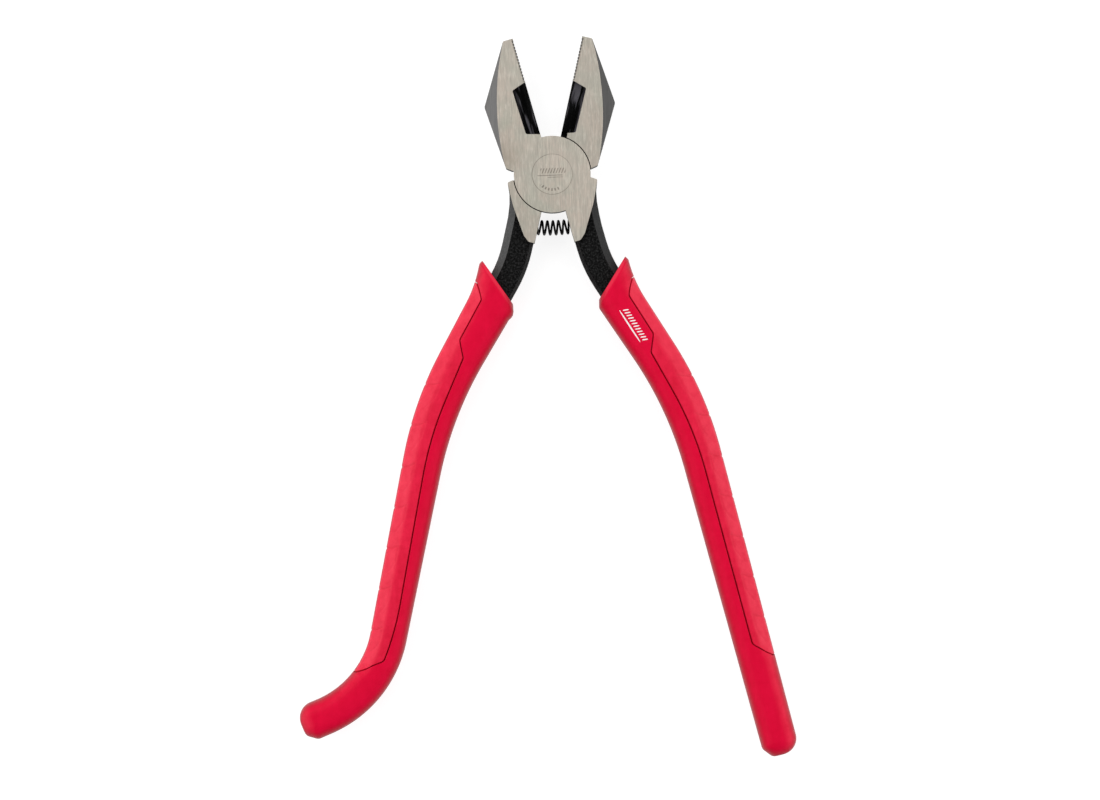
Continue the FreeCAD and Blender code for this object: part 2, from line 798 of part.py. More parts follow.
def make_grip_blank(doc, s, name, hooked):
    """Outside of a whole grip: rounded long edges and an oblique mouth."""
    body = new_body(doc, name)
    outline = new_sketch(body, f"{name}_outline", "XY_Plane", s.head_thickness / 2)
    trace(outline, grip_outline(s, hooked))
    pad = extrude(body, "Pad", f"{name}_pad", outline, s.grip_thickness, centred=True)
    doc.recompute()
    faces = [s.head_thickness.value / 2 + side * s.grip_thickness.value / 2 for side in (-1, 1)]
    edges = []
    for number, edge in enumerate(pad.Shape.Edges, start=1):
        box = edge.BoundBox
        flat = box.ZLength < SAME_PLACE and min(abs(box.ZMin - face) for face in faces) < SAME_PLACE
        if flat and box.YMin < -s.grip_flare_drop.value:
            edges.append(f"Edge{number}")
    rounded = body.newObject("PartDesign::Fillet", f"{name}_rounded")
    rounded.Base = (pad, edges)
    bind(rounded, "Radius", s.grip_edge_radius)
    body.Tip = rounded
    volume = must_change(doc, body, body.Shape.Volume, False, rounded)
    mouth = new_sketch(body, f"{name}_mouth_outline", "XY_Plane", s.head_thickness / 2)
    shift = s.hook_mouth_shift if hooked else size(0)
    heel = s.mouth_heel_reach + shift
    tip = s.mouth_tip_reach + shift
    side = heel - s.grip_half_width * 2
    foot = -s.mouth_heel_drop - s.mouth_heel_flat
    trace(mouth, [
        (side, foot, 0),
        (heel, foot, 0),
        (heel, -s.mouth_heel_drop, s.mouth_heel_radius),
        (tip, -s.mouth_tip_drop, s.mouth_tip_radius),
        (tip + s.mouth_tip_run, -s.mouth_tip_drop - s.mouth_tip_fall, 0),
        (tip + s.mouth_tip_run, 0, 0),
        (side, 0, 0),
    ])
    cut = extrude(body, "Pocket", f"{name}_mouth", mouth, s.grip_thickness * 2, centred=True)
    must_change(doc, body, volume, False, cut)
    place_half(body, s, hooked)
    return body


def seam_corners(s, hooked, shift):
    """Return the seam as corners with radii, moved out by a shift."""
    upper = s.hook_mouth_shift + shift if hooked else size(shift)
    bend = s.hook_seam_bend_shift + shift if hooked else size(shift)
    up = size(shift) * s.seam_end_shift_rate
    corners = [
        (s.seam_top_reach + upper, -s.seam_top_drop, s.seam_corner_radius),
        (s.seam_point_reach + upper, -s.seam_point_drop, s.seam_corner_radius),
        (s.seam_waist_reach + upper, -s.seam_waist_drop, s.seam_waist_radius),
        (s.seam_bend_reach + bend, -s.seam_bend_drop, s.seam_bend_radius),
    ]
    if not hooked:
        corners.append((s.seam_foot_reach + shift, -s.seam_foot_drop, s.seam_foot_radius))
        corners.append((s.seam_end_reach, up - s.seam_end_drop, 0))
        return corners
    ankle = (s.hook_seam_ankle_reach + shift, -s.hook_seam_ankle_drop, s.hook_seam_ankle_radius)
    foot = (s.hook_seam_foot_reach + shift, -s.hook_seam_foot_drop, s.seam_foot_radius)
    return corners + [ankle, foot, (s.hook_seam_end_reach, up - s.hook_seam_end_drop, 0)]


def make_insert_zone(doc, s, name, hooked, shift):
    """Space on the outer side of the seam that the insert fills, moved out by a shift."""
    body = new_body(doc, name)
    neck, elbow = handle_corners(s, hooked)
    middle = s.head_thickness / 2
    seam = seam_corners(s, hooked, shift)
    reach, drop, radius = seam[0]
    top = (reach + s.seam_top_run, drop + s.seam_top_run * s.seam_top_slope - shift, 0)
    far = s.seam_end_reach * 2
    outline = new_sketch(body, f"{name}_outline", "XY_Plane", middle)
    trace(outline, [top] + seam + [(far, seam[-1][1], 0), (far, top[1], 0)])
    extrude(body, "Pad", f"{name}_pad", outline, s.grip_thickness + s.insert_depth, centred=True)
    path = new_sketch(body, f"{name}_path", "XY_Plane", middle)
    trace(path, centre_path(s, hooked), closed=False)
    section = new_sketch(body, f"{name}_section", "XZ_Plane", s.tang_top)
    half = s.grip_thickness / 2 - s.insert_depth
    inside = neck[0] - s.insert_back_reach
    side = neck[0] + s.insert_side_reach
    trace(section, [
        (inside, middle - half, 0),
        (side, middle - half, s.insert_corner_radius),
        (side, middle + half, s.insert_corner_radius),
        (inside, middle + half, 0),
    ])
    doc.recompute()
    volume = body.Shape.Volume
    pipe = sweep(body, "SubtractivePipe", f"{name}_hollow", section, path)
    must_change(doc, body, volume, False, pipe)
    place_half(body, s, hooked)
    return body


def combine(doc, kind, name, base, tool):
    """Join two objects with a Part boolean."""
    result = doc.addObject(f"Part::{kind}", name)
    result.Base = base
    result.Tool = tool
    result.Label = name
    return result


def make_grip(doc, s, name, half, hooked):
    """Sleeve moulded over the tang, and the insert bonded into its outer side."""
    blank = make_grip_blank(doc, s, f"{name}_blank", hooked)
    zone = make_insert_zone(doc, s, f"{name}_insert_zone", hooked, s.seam_half_gap)
    pocket = make_insert_zone(doc, s, f"{name}_pocket_zone", hooked, -s.seam_half_gap)
    filled = combine(doc, "Common", f"{name}_filled", blank, zone)
    insert = combine(doc, "Cut", f"{name}_insert", filled, half)
    shell = combine(doc, "Cut", f"{name}_shell", blank, pocket)
    sleeve = combine(doc, "Cut", f"{name}_sleeve", shell, half)
    doc.recompute()
    return [sleeve, insert]


# ------------------------------------------------------------------ check and save


def check(doc):
    """Stop if any object has failed."""
    for item in doc.Objects:
        if "Invalid" in item.State or "Error" in item.State:
            raise RuntimeError(f"{item.Name} is {item.State}")


def save(parts):
    """Write one STEP file for each piece, named by its label."""
    os.makedirs("parts", exist_ok=True)
    for part in parts:
        shape = part.Shape
        if shape.isNull() or not shape.isValid() or len(shape.Solids) != 1:
            raise RuntimeError(f"{part.Label} is not one valid solid")
        shape.exportStep(f"parts/{part.Label}.step")
        box = shape.BoundBox
        print(f"{part.Label}: {shape.Volume:.0f} mm3, {box.XLength:.1f} x {box.YLength:.1f}"
              f" x {box.ZLength:.1f}, faces {len(shape.Faces)}")


def main():
    doc = FreeCAD.newDocument("ironworker_pliers")
    s = fill_sheet(doc)
    front = make_half(doc, s, "front_half", False)
    rear = make_half(doc, s, "rear_half", True)
    rivet = make_rivet(doc, s)
    spring = make_spring(doc, s)
    straight = make_grip(doc, s, "straight_grip", front, False)
    hooked = make_grip(doc, s, "hooked_grip", rear, True)
    doc.recompute()
    check(doc)
    save([front, rear, rivet, spring] + straight + hooked)


main()
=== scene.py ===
"""Looks of the spring-loaded ironworker pliers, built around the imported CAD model."""

import math

import bmesh
import bpy
import numpy as np
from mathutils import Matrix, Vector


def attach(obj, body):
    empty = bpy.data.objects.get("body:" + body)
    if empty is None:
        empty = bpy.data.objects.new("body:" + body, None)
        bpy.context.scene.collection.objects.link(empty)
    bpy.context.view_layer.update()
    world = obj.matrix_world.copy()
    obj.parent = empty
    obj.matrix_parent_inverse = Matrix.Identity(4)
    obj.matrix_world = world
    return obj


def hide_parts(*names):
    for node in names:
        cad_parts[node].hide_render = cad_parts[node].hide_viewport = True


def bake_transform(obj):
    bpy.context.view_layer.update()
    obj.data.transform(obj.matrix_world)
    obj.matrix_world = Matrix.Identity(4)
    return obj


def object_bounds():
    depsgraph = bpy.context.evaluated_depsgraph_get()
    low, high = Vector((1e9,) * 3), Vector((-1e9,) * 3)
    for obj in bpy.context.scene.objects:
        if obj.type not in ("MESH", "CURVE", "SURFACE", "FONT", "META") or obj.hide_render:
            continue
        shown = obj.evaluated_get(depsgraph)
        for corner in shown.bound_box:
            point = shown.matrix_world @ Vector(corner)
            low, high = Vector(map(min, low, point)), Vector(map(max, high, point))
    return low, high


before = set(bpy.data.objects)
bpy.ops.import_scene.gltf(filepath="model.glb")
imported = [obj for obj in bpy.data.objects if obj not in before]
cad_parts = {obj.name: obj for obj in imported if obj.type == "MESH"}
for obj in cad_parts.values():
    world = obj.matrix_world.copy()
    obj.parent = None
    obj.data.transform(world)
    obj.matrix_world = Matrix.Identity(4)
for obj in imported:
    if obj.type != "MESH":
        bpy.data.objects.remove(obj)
cad_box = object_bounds()

MM = 0.001
FRONT_BODY = "front_half_body"
REAR_BODY = "rear_half_body"

# Sizes are in millimetres, in the closed frame of one half: pivot at the origin, jaw up
# the +Y axis, handle on the +X side.
HALF_OPENING = math.radians(14.2)
HEAD_THICKNESS = 16.0
MIDDLE = HEAD_THICKNESS / 2
RIVET_HEAD_RADIUS = 6.3

# Centre line of a handle.
TANG_OFFSET = 5.73
TANG_TOP = 8.0
NECK_DROP = 30.4
NECK_RADIUS = 38.4
SPLAY = math.radians(17.0)
SPLAY_RUN = 51.3
HANDLE_RADIUS = 121.8
RETURN_ANGLE = math.radians(-1.0)
STRAIGHT_RUN = 114.7
HOOK_SHIFT = 0.2
HOOK_DROP = 90.8
HOOK_ANGLE = math.radians(55.2)
HOOK_RADIUS = 33.9
HOOK_RUN = 25.4

# Section and outline of the grips.
GRIP_HALF_THICKNESS = 9.0
GRIP_HALF_WIDTH = 6.4
GRIP_OUTER_END = 5.5
GRIP_INNER_END = 5.8
HOOK_HEEL_EXTRA = 0.4
SECTION_POWER = 3.3
SECTION_CORNER = 0.5 ** (1 / SECTION_POWER)
FLARE_REACH = 15.5
FLARE_DROP = 39.5
FLARE_RADIUS = 40.0
INNER_TAPER = math.radians(1.2)
INNER_CORNER_RADIUS = 1.5
END_RADIUS = 5.0
END_EDGE_RADIUS = 4.6
END_FACET = (2.5, 3.2)
END_FACET_RADIUS = 2.0
PATH_STEP = 0.25

# Oblique mouth of the grips.  Each step of its bevel is (distance below the plane of the
# mouth, depth below the skin).
MOUTH_TIP = (14.9, -30.8)
MOUTH_HEEL = (2.5, -42.2)
MOUTH_BEVEL = [(0.0, 1.6), (0.0, 0.85), (0.08, 0.66), (1.1, 0.12), (1.25, 0.04)]
MOUTH_BEVEL_END = 1.5
HOOK_MOUTH_SHIFT = 0.9
HEEL_SWELL = 0.7
HEEL_RUN = 3.6
BORE_HALF_WIDTH = 3.4
BORE_HALF_HEIGHT = 4.0
BORE_DEPTHS = (5.0, 0.0)
SEARCH_START = 28.0
SEARCH_ROUNDS = 12
SEARCH_SHARE = 0.9

# Seam between sleeve and insert, as corners (x, y, radius).
STRAIGHT_SEAM = [
    (22.6, -23.0, 0),
    (12.6, -43.0, 0.5),
    (16.6, -56.5, 0.5),
    (14.1, -62.0, 1.0),
    (20.4, -88.5, 110.0),
    (19.1, -158.3, 2.0),
    (27.0, -165.6, 0),
]
HOOKED_SEAM = [
    (23.5, -23.0, 0),
    (13.5, -43.0, 0.5),
    (17.5, -56.5, 0.5),
    (15.0, -62.0, 1.0),
    (19.95, -88.5, 110.0),
    (17.7, -149.0, 90.0),
    (19.2, -159.7, 2.0),
    (33.8, -168.8, 0),
]
SEAM_EDGE = 0.93
SEAM_SEARCH_FROM = 20.0
SEAM_SEARCH_STEP = 0.02
OFF_THE_GRIP = 30.0

# Edges of the seam's groove, as (distance from the seam, depth below the skin).
INSERT_DEPTH = 1.3
SLEEVE_LIP = [(0.28, 0.07), (0.18, 0.22), (0.1, 0.5)]
SLEEVE_SKIN_EDGE = 0.37
SLEEVE_FLOOR_EDGE = 0.08
SLEEVE_FLOOR_DEPTH = INSERT_DEPTH + 0.03
INSERT_LIP = [(-0.06, INSERT_DEPTH), (-0.08, 0.5), (-0.16, 0.22), (-0.26, 0.07)]
INSERT_SKIN_EDGE = -0.36
INSERT_FLOOR_EDGE = -0.06

# Rings of points along the grips.
LEVEL_RUN = 46.0
STEP_HALF_RUN = 0.1
STEP_HALF_SHARE = 0.006
STEP_FADE = 0.1
UPPER_RINGS = 20
LOWER_RINGS = 34
RING_STEP = 0.6
CAP_ANGLES = np.linspace(0.05, math.pi / 2 - 0.04, 18)
INSERT_END_GAP = 0.15
INSERT_END_STEPS = np.array([0.0, 0.08, 0.2, 0.35])
INSERT_BODY_START = 0.7
INSERT_RING_STEP = 0.36

# Flattened outer corners of the inserts, and the shallow lines of their row of pads.
FACET_CUT = 0.75
FACET_SOFTNESS = 0.5
FACET_FADE = 4.0
FACET_CREST = 2.5
LINE_PITCH = 13.0
LINE_START = 65.2
LINE_SLANT = 0.52
LINE_DEPTH = 0.22
LINE_WIDTH = 0.32
# Share of a moulded line's depth passed on to the depth attribute, as painted shade in the line.
LINE_SHADE_SHARE = 0.25
LINE_SIDE_FADE = 0.5
FIRST_LINE_FADE = (LINE_START - 6.0, LINE_START - 2.0)
LAST_LINE_FADE = (3.0, 6.0)
PAD_STRAIGHT = 5.0
PAD_LEAN = 0.8
PAD_LINE_FADE = (9.0, 7.5)
PAD_LINE_RISE = (0.3, 0.5)
PAD_LINE_SHARE = 0.6

# Printed mark on the straight grip: (run along the grip, distance to the outer side).
DASH_COUNT = 12
FIRST_DASH = (39.6, -0.6)
DASH_STEP = 1.0
DASH_REACH = 0.85
DASH_SLANT = 0.45
DASH_HALF_WIDTH = 0.19
DASH_ROUNDING = 0.96
BAR_START = (38.6, -2.3)
BAR_LENGTH = 11.8
BAR_HALF_WIDTHS = (0.05, 0.24)
INK_RISE = 0.03

SPRING_DROP = 16.6
SPRING_LENGTH = 18.0
SPRING_BEND = 50.0
COIL_RADIUS = 2.1
COIL_PITCH = 1.78
COIL_SHIFT = 0.33
WIRE_RADIUS = 0.35
POINTS_PER_TURN = 40
POINTS_ROUND_WIRE = 14

GRIP_SHARP_ANGLE = 34
WIRE_SHARP_ANGLE = 60
WELD_DISTANCE = 2e-6
SLIVER_DISTANCE = 1e-6
TINY = 1e-9

# Where the finishes of a forging meet.  Each pair is where the change begins and where it
# is complete, along Y or as a distance from the jaw's own middle.
FACE_LIFT = (7.90, 7.97)
BEVEL_ASIDE = (5.6, 5.8)
BEVEL_TOP = (30.4, 30.6)
BEVEL_FOOT = (3.0, 3.2)
RECESS_ASIDE = (5.6, 5.3)
RECESS_TOP = (30.2, 29.9)
RECESS_FOOT = (12.5, 12.8)
RECESS_EDGE = (3.8, 4.6)
CHAMFER_TOP = (-5.0, -5.6)
TOOTH_ASIDE = (0.85, 0.40)
TOOTH_FOOT = (29.9, 30.4)
TOOTH_PITCH = 1.0
SMUDGE_SPOT = (-14.5, 6.2, 16.0)
SMUDGE_REACH = (6.8, 1.0)

# Engraving on the rivet: boxes are (centre, half size), waves are per metre.
RING_WIDTH = (0.14, 0.05)
HATCHED_BAR = ((0.3, 1.1), (3.9, 0.8))
ENGRAVED_LINES = [((-0.7, -0.35), (3.9, 0.13)), ((0.9, -0.95), (2.4, 0.1))]
HATCH_WAVES = (7200.0, -3000.0)
ENGRAVING_SOFTNESS = 0.08
DOT_ARC_RADIUS = 4.8
DOT_ARC_WIDTH = (0.50, 0.36)
DOT_ARC_ENDS = (-2.45, -1.05)
DOT_WAVES = 30.0

DEEP_RED = (0.64, 0.0010, 0.030, 1)
SLEEVE_RED = (0.71, 0.0022, 0.038, 1)
INSERT_RED = (0.77, 0.0085, 0.050, 1)
# Painted sheen: paler red for the grips' outward-facing corners and mouth bevel.
PAINTED_SHEEN_RED = (0.80, 0.036, 0.074, 1)
# Painted shade: darker red for the grips' side walls.
SIDE_SHADE_RED = (0.28, 0.0008, 0.008, 1)
# Painted shade: darker red for the seam's groove and the moulded lines.
GROOVE_SHADE_RED = (0.50, 0.0012, 0.018, 1)
SCRATCH_GREY = (0.33, 0.305, 0.265, 1)
# Painted highlight: pale grey glints on the ground steel.
GLINT_GREY = (0.72, 0.68, 0.60, 1)
SMUDGE_BROWN = (0.33, 0.275, 0.225, 1)
# Dark brown for the rivet's engraving, also used as painted shade along the jaw's teeth.
ENGRAVED_AND_TOOTH_SHADE_BROWN = (0.07, 0.060, 0.050, 1)
# Painted highlight: paler grey streaks in the jaw's black recess.
RECESS_HIGHLIGHT_GREY = (0.085, 0.081, 0.092, 1)

# Soft boxes of the studio: (name, place in metres, size in metres, radiance).
LIGHTS = [
    ("top_box", (-0.15, 0.75, 1.25), (1.4, 0.9), 2.5),
    ("left_low", (-1.15, 0.1, 0.3), (1.3, 0.5), 2.1),
    ("left_high", (-0.8, -0.2, 1.0), (0.9, 0.9), 1.55),
    ("right_low", (1.15, -0.1, 0.35), (1.3, 0.5), 1.8),
    ("right_high", (0.8, -0.1, 1.0), (0.9, 0.9), 1.5),
]
LIGHT_TARGET = (0, -0.07, 0)
WORLD_STRENGTH = 0.3
FLOOR_HALF_SIZE = 3.0
FLOOR_CLEARANCE = 0.0002
FLOOR_GLOW = 0.86
CAMERA_LENS = 300.0
CAMERA_SENSOR = 36.0
CAMERA_CENTRE = (-3.15, -70.4)
CAMERA_TURN = math.radians(-2.0)
SEEN_WIDTH = 343.75


# ---------------------------------------------------------------- plane geometry


def unit(v):
    return v / np.linalg.norm(v)


def rounded(corners):
    """Evenly spaced points along straight runs through (x, y, radius) corners."""
    points = [np.array(corners[0][:2], float)]
    for before, corner, after in zip(corners, corners[1:], corners[2:]):
        spot = np.array(corner[:2], float)
        radius = corner[2]
        arriving = unit(spot - np.array(before[:2]))
        leaving = unit(np.array(after[:2]) - spot)
        side = math.copysign(1.0, arriving[0] * leaving[1] - arriving[1] * leaving[0])
        turn = math.acos(np.clip(arriving @ leaving, -1, 1))
        start = spot - arriving * radius * math.tan(turn / 2)
        across = np.array([-arriving[1], arriving[0]]) * side * radius
        count = max(2, int(radius * turn / PATH_STEP * 2))
        for angle in np.linspace(0, turn, count) * side:
            c, s = math.cos(angle), math.sin(angle)
            arm = np.array([-c * across[0] + s * across[1], -s * across[0] - c * across[1]])
            points.append(start + across + arm)
    points.append(np.array(corners[-1][:2], float))
    return evenly_spaced(np.array(points))


def evenly_spaced(points):
    travelled = run_along(points)
    even = np.linspace(0, travelled[-1], int(travelled[-1] / PATH_STEP) + 1)
    return np.stack([np.interp(even, travelled, points[:, k]) for k in (0, 1)], axis=1)


def run_along(points):
    """Distance travelled along a line at each of its points."""
    steps = np.linalg.norm(np.diff(points, axis=0), axis=1)
    return np.concatenate([[0], np.cumsum(steps)])


def directions(line):
    """Unit direction of travel at each point of a line."""
    ahead = np.gradient(line, axis=0)
    return ahead / np.linalg.norm(ahead, axis=1)[:, None]


def turned_left(ahead):
    return np.stack([-ahead[:, 1], ahead[:, 0]], axis=1)


def go(point, heading, distance):
    """Step along a heading measured from -Y towards +X."""
    return (
        point[0] + math.sin(heading) * distance,
        point[1] - math.cos(heading) * distance,
    )


def beside(point, arriving, leaving, reach):
    """Corner of a run drawn beside the centre line, on its outer side."""
    spread = math.cos(arriving - leaving) + 1
    return (
        point[0] + (math.cos(arriving) + math.cos(leaving)) * reach / spread,
        point[1] + (math.sin(arriving) + math.sin(leaving)) * reach / spread,
    )


def placed(points, hooked):
    """Turn closed-frame millimetres into rest-frame metres."""
    x, y, z = (np.asarray(points)[..., k] for k in range(3))
    if hooked:
        nx, ny = math.sin(HALF_OPENING / 2), math.cos(HALF_OPENING / 2)
        along = x * nx + y * ny
        out = (2 * along * nx - x, 2 * along * ny - y, HEAD_THICKNESS - z)
    else:
        c, s = math.cos(HALF_OPENING), math.sin(HALF_OPENING)
        out = (x * c - y * s, x * s + y * c, z)
    return np.stack(out, axis=-1) * MM


def ramp(value, low, high):
    return np.clip((value - low) / (high - low), 0, 1)


def fillet(left, radius):
    """How far a rounded end has drawn in, by the distance left to the end."""
    inside = np.clip(radius - left, 0, radius)
    return radius - np.sqrt(radius ** 2 - inside ** 2)


# ------------------------------------------------------------------ grip outline


def handle_marks(hooked):
    """Neck, elbow, last bend and end of a handle's centre line, and its last heading."""
    neck = (TANG_OFFSET + HOOK_SHIFT * hooked, -NECK_DROP)
    elbow = go(neck, SPLAY, SPLAY_RUN)
    if not hooked:
        return neck, elbow, None, go(elbow, RETURN_ANGLE, STRAIGHT_RUN), RETURN_ANGLE
    bend = go(elbow, RETURN_ANGLE, HOOK_DROP)
    return neck, elbow, bend, go(bend, HOOK_ANGLE, HOOK_RUN), HOOK_ANGLE


def centre_corners(hooked):
    neck, elbow, bend, end, _ = handle_marks(hooked)
    corners = [(neck[0], -TANG_TOP, 0), (*neck, NECK_RADIUS), (*elbow, HANDLE_RADIUS)]
    if hooked:
        corners.append((*bend, HOOK_RADIUS))
    corners.append((*end, 0))
    return corners


def outer_corners(hooked):
    _, elbow, bend, end, heading = handle_marks(hooked)
    flare = FLARE_REACH + HOOK_MOUTH_SHIFT * hooked
    outside_elbow = beside(elbow, SPLAY, RETURN_ANGLE, GRIP_HALF_WIDTH)
    corners = [
        (flare, -TANG_TOP, 0),
        (flare, -FLARE_DROP, FLARE_RADIUS),
        (*outside_elbow, HANDLE_RADIUS - GRIP_HALF_WIDTH),
    ]
    if hooked:
        outside_bend = beside(bend, RETURN_ANGLE, heading, GRIP_OUTER_END)
        corners.append((*outside_bend, HOOK_RADIUS - GRIP_OUTER_END))
    corners.append((*beside(end, heading, heading, GRIP_OUTER_END), END_RADIUS))
    corners.append((*end, 0))
    return corners


def inner_corners(hooked):
    _, elbow, bend, end, heading = handle_marks(hooked)
    heel_x = MOUTH_HEEL[0] + HOOK_MOUTH_SHIFT * hooked
    inside_elbow = beside(elbow, SPLAY, RETURN_ANGLE, -GRIP_HALF_WIDTH)
    rise = (inside_elbow[0] - heel_x) / math.tan(SPLAY + INNER_TAPER)
    corners = [
        (heel_x, -TANG_TOP, 0),
        (heel_x, inside_elbow[1] + rise, INNER_CORNER_RADIUS),
        (*inside_elbow, HANDLE_RADIUS - GRIP_HALF_WIDTH),
    ]
    if hooked:
        inside_bend = beside(bend, RETURN_ANGLE, heading, -GRIP_INNER_END)
        corners.append((*inside_bend, HOOK_RADIUS + GRIP_INNER_END))
    across, along = END_FACET
    reach = GRIP_INNER_END + HOOK_HEEL_EXTRA * hooked
    before_end = go(end, heading, -along)
    corners.append((*beside(before_end, heading, heading, -reach), END_FACET_RADIUS))
    corners.append((*beside(end, heading, heading, across - reach), END_FACET_RADIUS))
    corners.append((*end, 0))
    return corners


def section_table(count=721):
    """Outline of the grip's section at unit size, by fraction of its length.

    Fraction 0 is the outer side, 0.25 the front, 0.5 the inner side, 0.75 the back.
    """
    angle = np.linspace(0, 2 * math.pi, count)
    x = np.sign(np.cos(angle)) * np.abs(np.cos(angle)) ** (2 / SECTION_POWER)
    z = np.sign(np.sin(angle)) * np.abs(np.sin(angle)) ** (2 / SECTION_POWER)
    step = np.hypot(np.diff(x) * GRIP_HALF_WIDTH, np.diff(z) * GRIP_HALF_THICKNESS)
    share = np.concatenate([[0], np.cumsum(step)])
    return share / share[-1], x, z


SHARE, SECTION_X, SECTION_Z = section_table()


# ------------------------------------------------------------------ grip surface


class Grip:
    """Outside of one grip, as a surface over (run along the handle, place round it)."""

    def __init__(self, hooked):
        self.hooked = hooked
        self.path = rounded(centre_corners(hooked))
        self.run = run_along(self.path)
        self.length = self.run[-1]
        self.ahead = directions(self.path)
        self.out = turned_left(self.ahead)
        shift = (HOOK_MOUTH_SHIFT * hooked, 0)
        self.tip = np.add(MOUTH_TIP, shift)
        self.heel = np.add(MOUTH_HEEL, shift)
        self.outer = self.along(rounded(outer_corners(hooked)))
        self.inner = self.along(rounded(inner_corners(hooked)))
        self.seam = self.along(rounded(HOOKED_SEAM if hooked else STRAIGHT_SEAM))
        fine = np.arange(SEAM_SEARCH_FROM, self.length - END_RADIUS, SEAM_SEARCH_STEP)
        on_grip = fine[self.seam_at(fine) < SEAM_EDGE * self.widths(fine)[0]]
        self.seam_start, self.seam_end = on_grip[0], on_grip[-1]

    def along(self, points):
        """Return (run, distance to the outer side) for points beside the path."""
        gaps = np.linalg.norm(points[:, None] - self.path[None], axis=2)
        nearest = np.argmin(gaps, axis=1)
        offset = points - self.path[nearest]
        run = self.run[nearest] + np.sum(offset * self.ahead[nearest], axis=1)
        aside = np.sum(offset * self.out[nearest], axis=1)
        order = np.argsort(run, kind="stable")
        return run[order], aside[order]

    def widths(self, t):
        """Distances from the centre line to the outer and to the inner side."""
        past_heel = t + self.heel[1] + TANG_TOP
        swell = self.hooked * HEEL_SWELL * ramp(past_heel, HEEL_RUN, HEEL_RUN / 2)
        return np.interp(t, *self.outer), swell - np.interp(t, *self.inner)

    def seam_at(self, t):
        """Distance of the seam from the centre line; off the grip past the seam's ends."""
        return np.interp(t, *self.seam, left=OFF_THE_GRIP, right=OFF_THE_GRIP)

    def place_of(self, t, aside):
        """Fraction round the front half of the section at which a distance lies."""
        outer, inner = self.widths(t)
        x = np.clip(np.where(aside > 0, aside / outer, aside / inner), -1, 1)
        half = len(SHARE) // 2 + 1
        return np.interp(-x, -SECTION_X[:half], SHARE[:half])

    def near(self, t, edge):
        """Place of a line kept a distance from the seam, and held off the outer side."""
        seam = np.minimum(self.seam_at(t), SEAM_EDGE * self.widths(t)[0])
        return self.place_of(t, seam - edge)

    def section(self, t, place):
        """Unit position on the section, and the half width on its side."""
        place = np.mod(place, 1.0)
        x = np.interp(place, SHARE, SECTION_X)
        z = np.interp(place, SHARE, SECTION_Z)
        outer, inner = self.widths(t)
        return x, z, np.where(x > 0, outer, inner)

    def at(self, t, aside, rise):
        """Point beside the path, in closed-frame millimetres."""
        x, y = (np.interp(t, self.run, self.path[:, k]) for k in (0, 1))
        out_x, out_y = (np.interp(t, self.run, self.out[:, k]) for k in (0, 1))
        return np.stack([x + out_x * aside, y + out_y * aside, MIDDLE + rise], axis=-1)

    def facet_cut(self, t, overhang):
        """How much the flattened corners take off, faded out at the seam's two ends."""
        start = ramp(t, self.seam_start, self.seam_start + FACET_FADE)
        end = ramp(t, self.seam_end, self.seam_end - FACET_FADE)
        softened = (overhang + np.hypot(overhang, FACET_SOFTNESS)) / 2
        return start * end * softened / 2

    def surface(self, t, place, depth=0.0):
        """Points sunk by a depth below the surface, with the outer corners cut flat."""
        x, z, width = self.section(t, place)
        height = GRIP_HALF_THICKNESS - fillet(self.length - t, END_EDGE_RADIUS)
        normal_x = np.sign(x) * np.abs(x) ** (SECTION_POWER - 1) / width
        normal_z = np.sign(z) * np.abs(z) ** (SECTION_POWER - 1) / height
        size = np.hypot(normal_x, normal_z) + TINY
        aside = x * width
        rise = z * height
        corner = (width + height) * SECTION_CORNER - FACET_CUT * math.sqrt(2)
        cut = self.facet_cut(t, aside + np.abs(rise) - corner)
        aside = aside - cut - depth * normal_x / size
        rise = rise - cut * np.sign(z) - depth * normal_z / size
        return self.at(t, aside, rise)

    def below_mouth(self, points):
        """Distance of points below the oblique plane of the mouth."""
        along = unit(self.tip - self.heel)
        down = np.array([along[1], -along[0]])
        return (points[..., :2] - self.heel) @ down


# A column of the grid runs along the grip: (side, share, edge, depth).  Side 0 lies on
# the sleeve's own skin and side 1 under or on the insert; share runs round that side;
# edge is the distance kept from the seam; depth is how far the column is sunk.


def sleeve_columns(skin=60, floor=30):
    rows = [(0, share, SLEEVE_SKIN_EDGE, 0.0) for share in np.linspace(0, 1, skin)]
    rows += [(1, 0, edge, depth) for edge, depth in SLEEVE_LIP]
    floor_shares = np.linspace(0, 1, floor)
    rows += [(1, share, SLEEVE_FLOOR_EDGE, SLEEVE_FLOOR_DEPTH) for share in floor_shares]
    rows += [(1, 1, edge, depth) for edge, depth in reversed(SLEEVE_LIP)]
    return np.array(rows, float).T


def insert_columns(skin=64, floor=10):
    rows = [(1, 0, edge, depth) for edge, depth in INSERT_LIP]
    rows += [(1, share, INSERT_SKIN_EDGE, 0.0) for share in np.linspace(0, 1, skin)]
    rows += [(1, 1, edge, depth) for edge, depth in reversed(INSERT_LIP)]
    floor_shares = np.linspace(1, 0, floor)[1:-1]
    rows += [(1, share, INSERT_FLOOR_EDGE, INSERT_DEPTH) for share in floor_shares]
    return np.array(rows, float).T


def column_places(grip, t, cols):
    side, share, edge, _ = cols
    near = grip.near(t, edge)
    return np.where(side == 0, near + share * (1 - 2 * near), 1 - near + share * 2 * near)


def line_profile(distance):
    return np.exp(-(distance / LINE_WIDTH) ** 2)


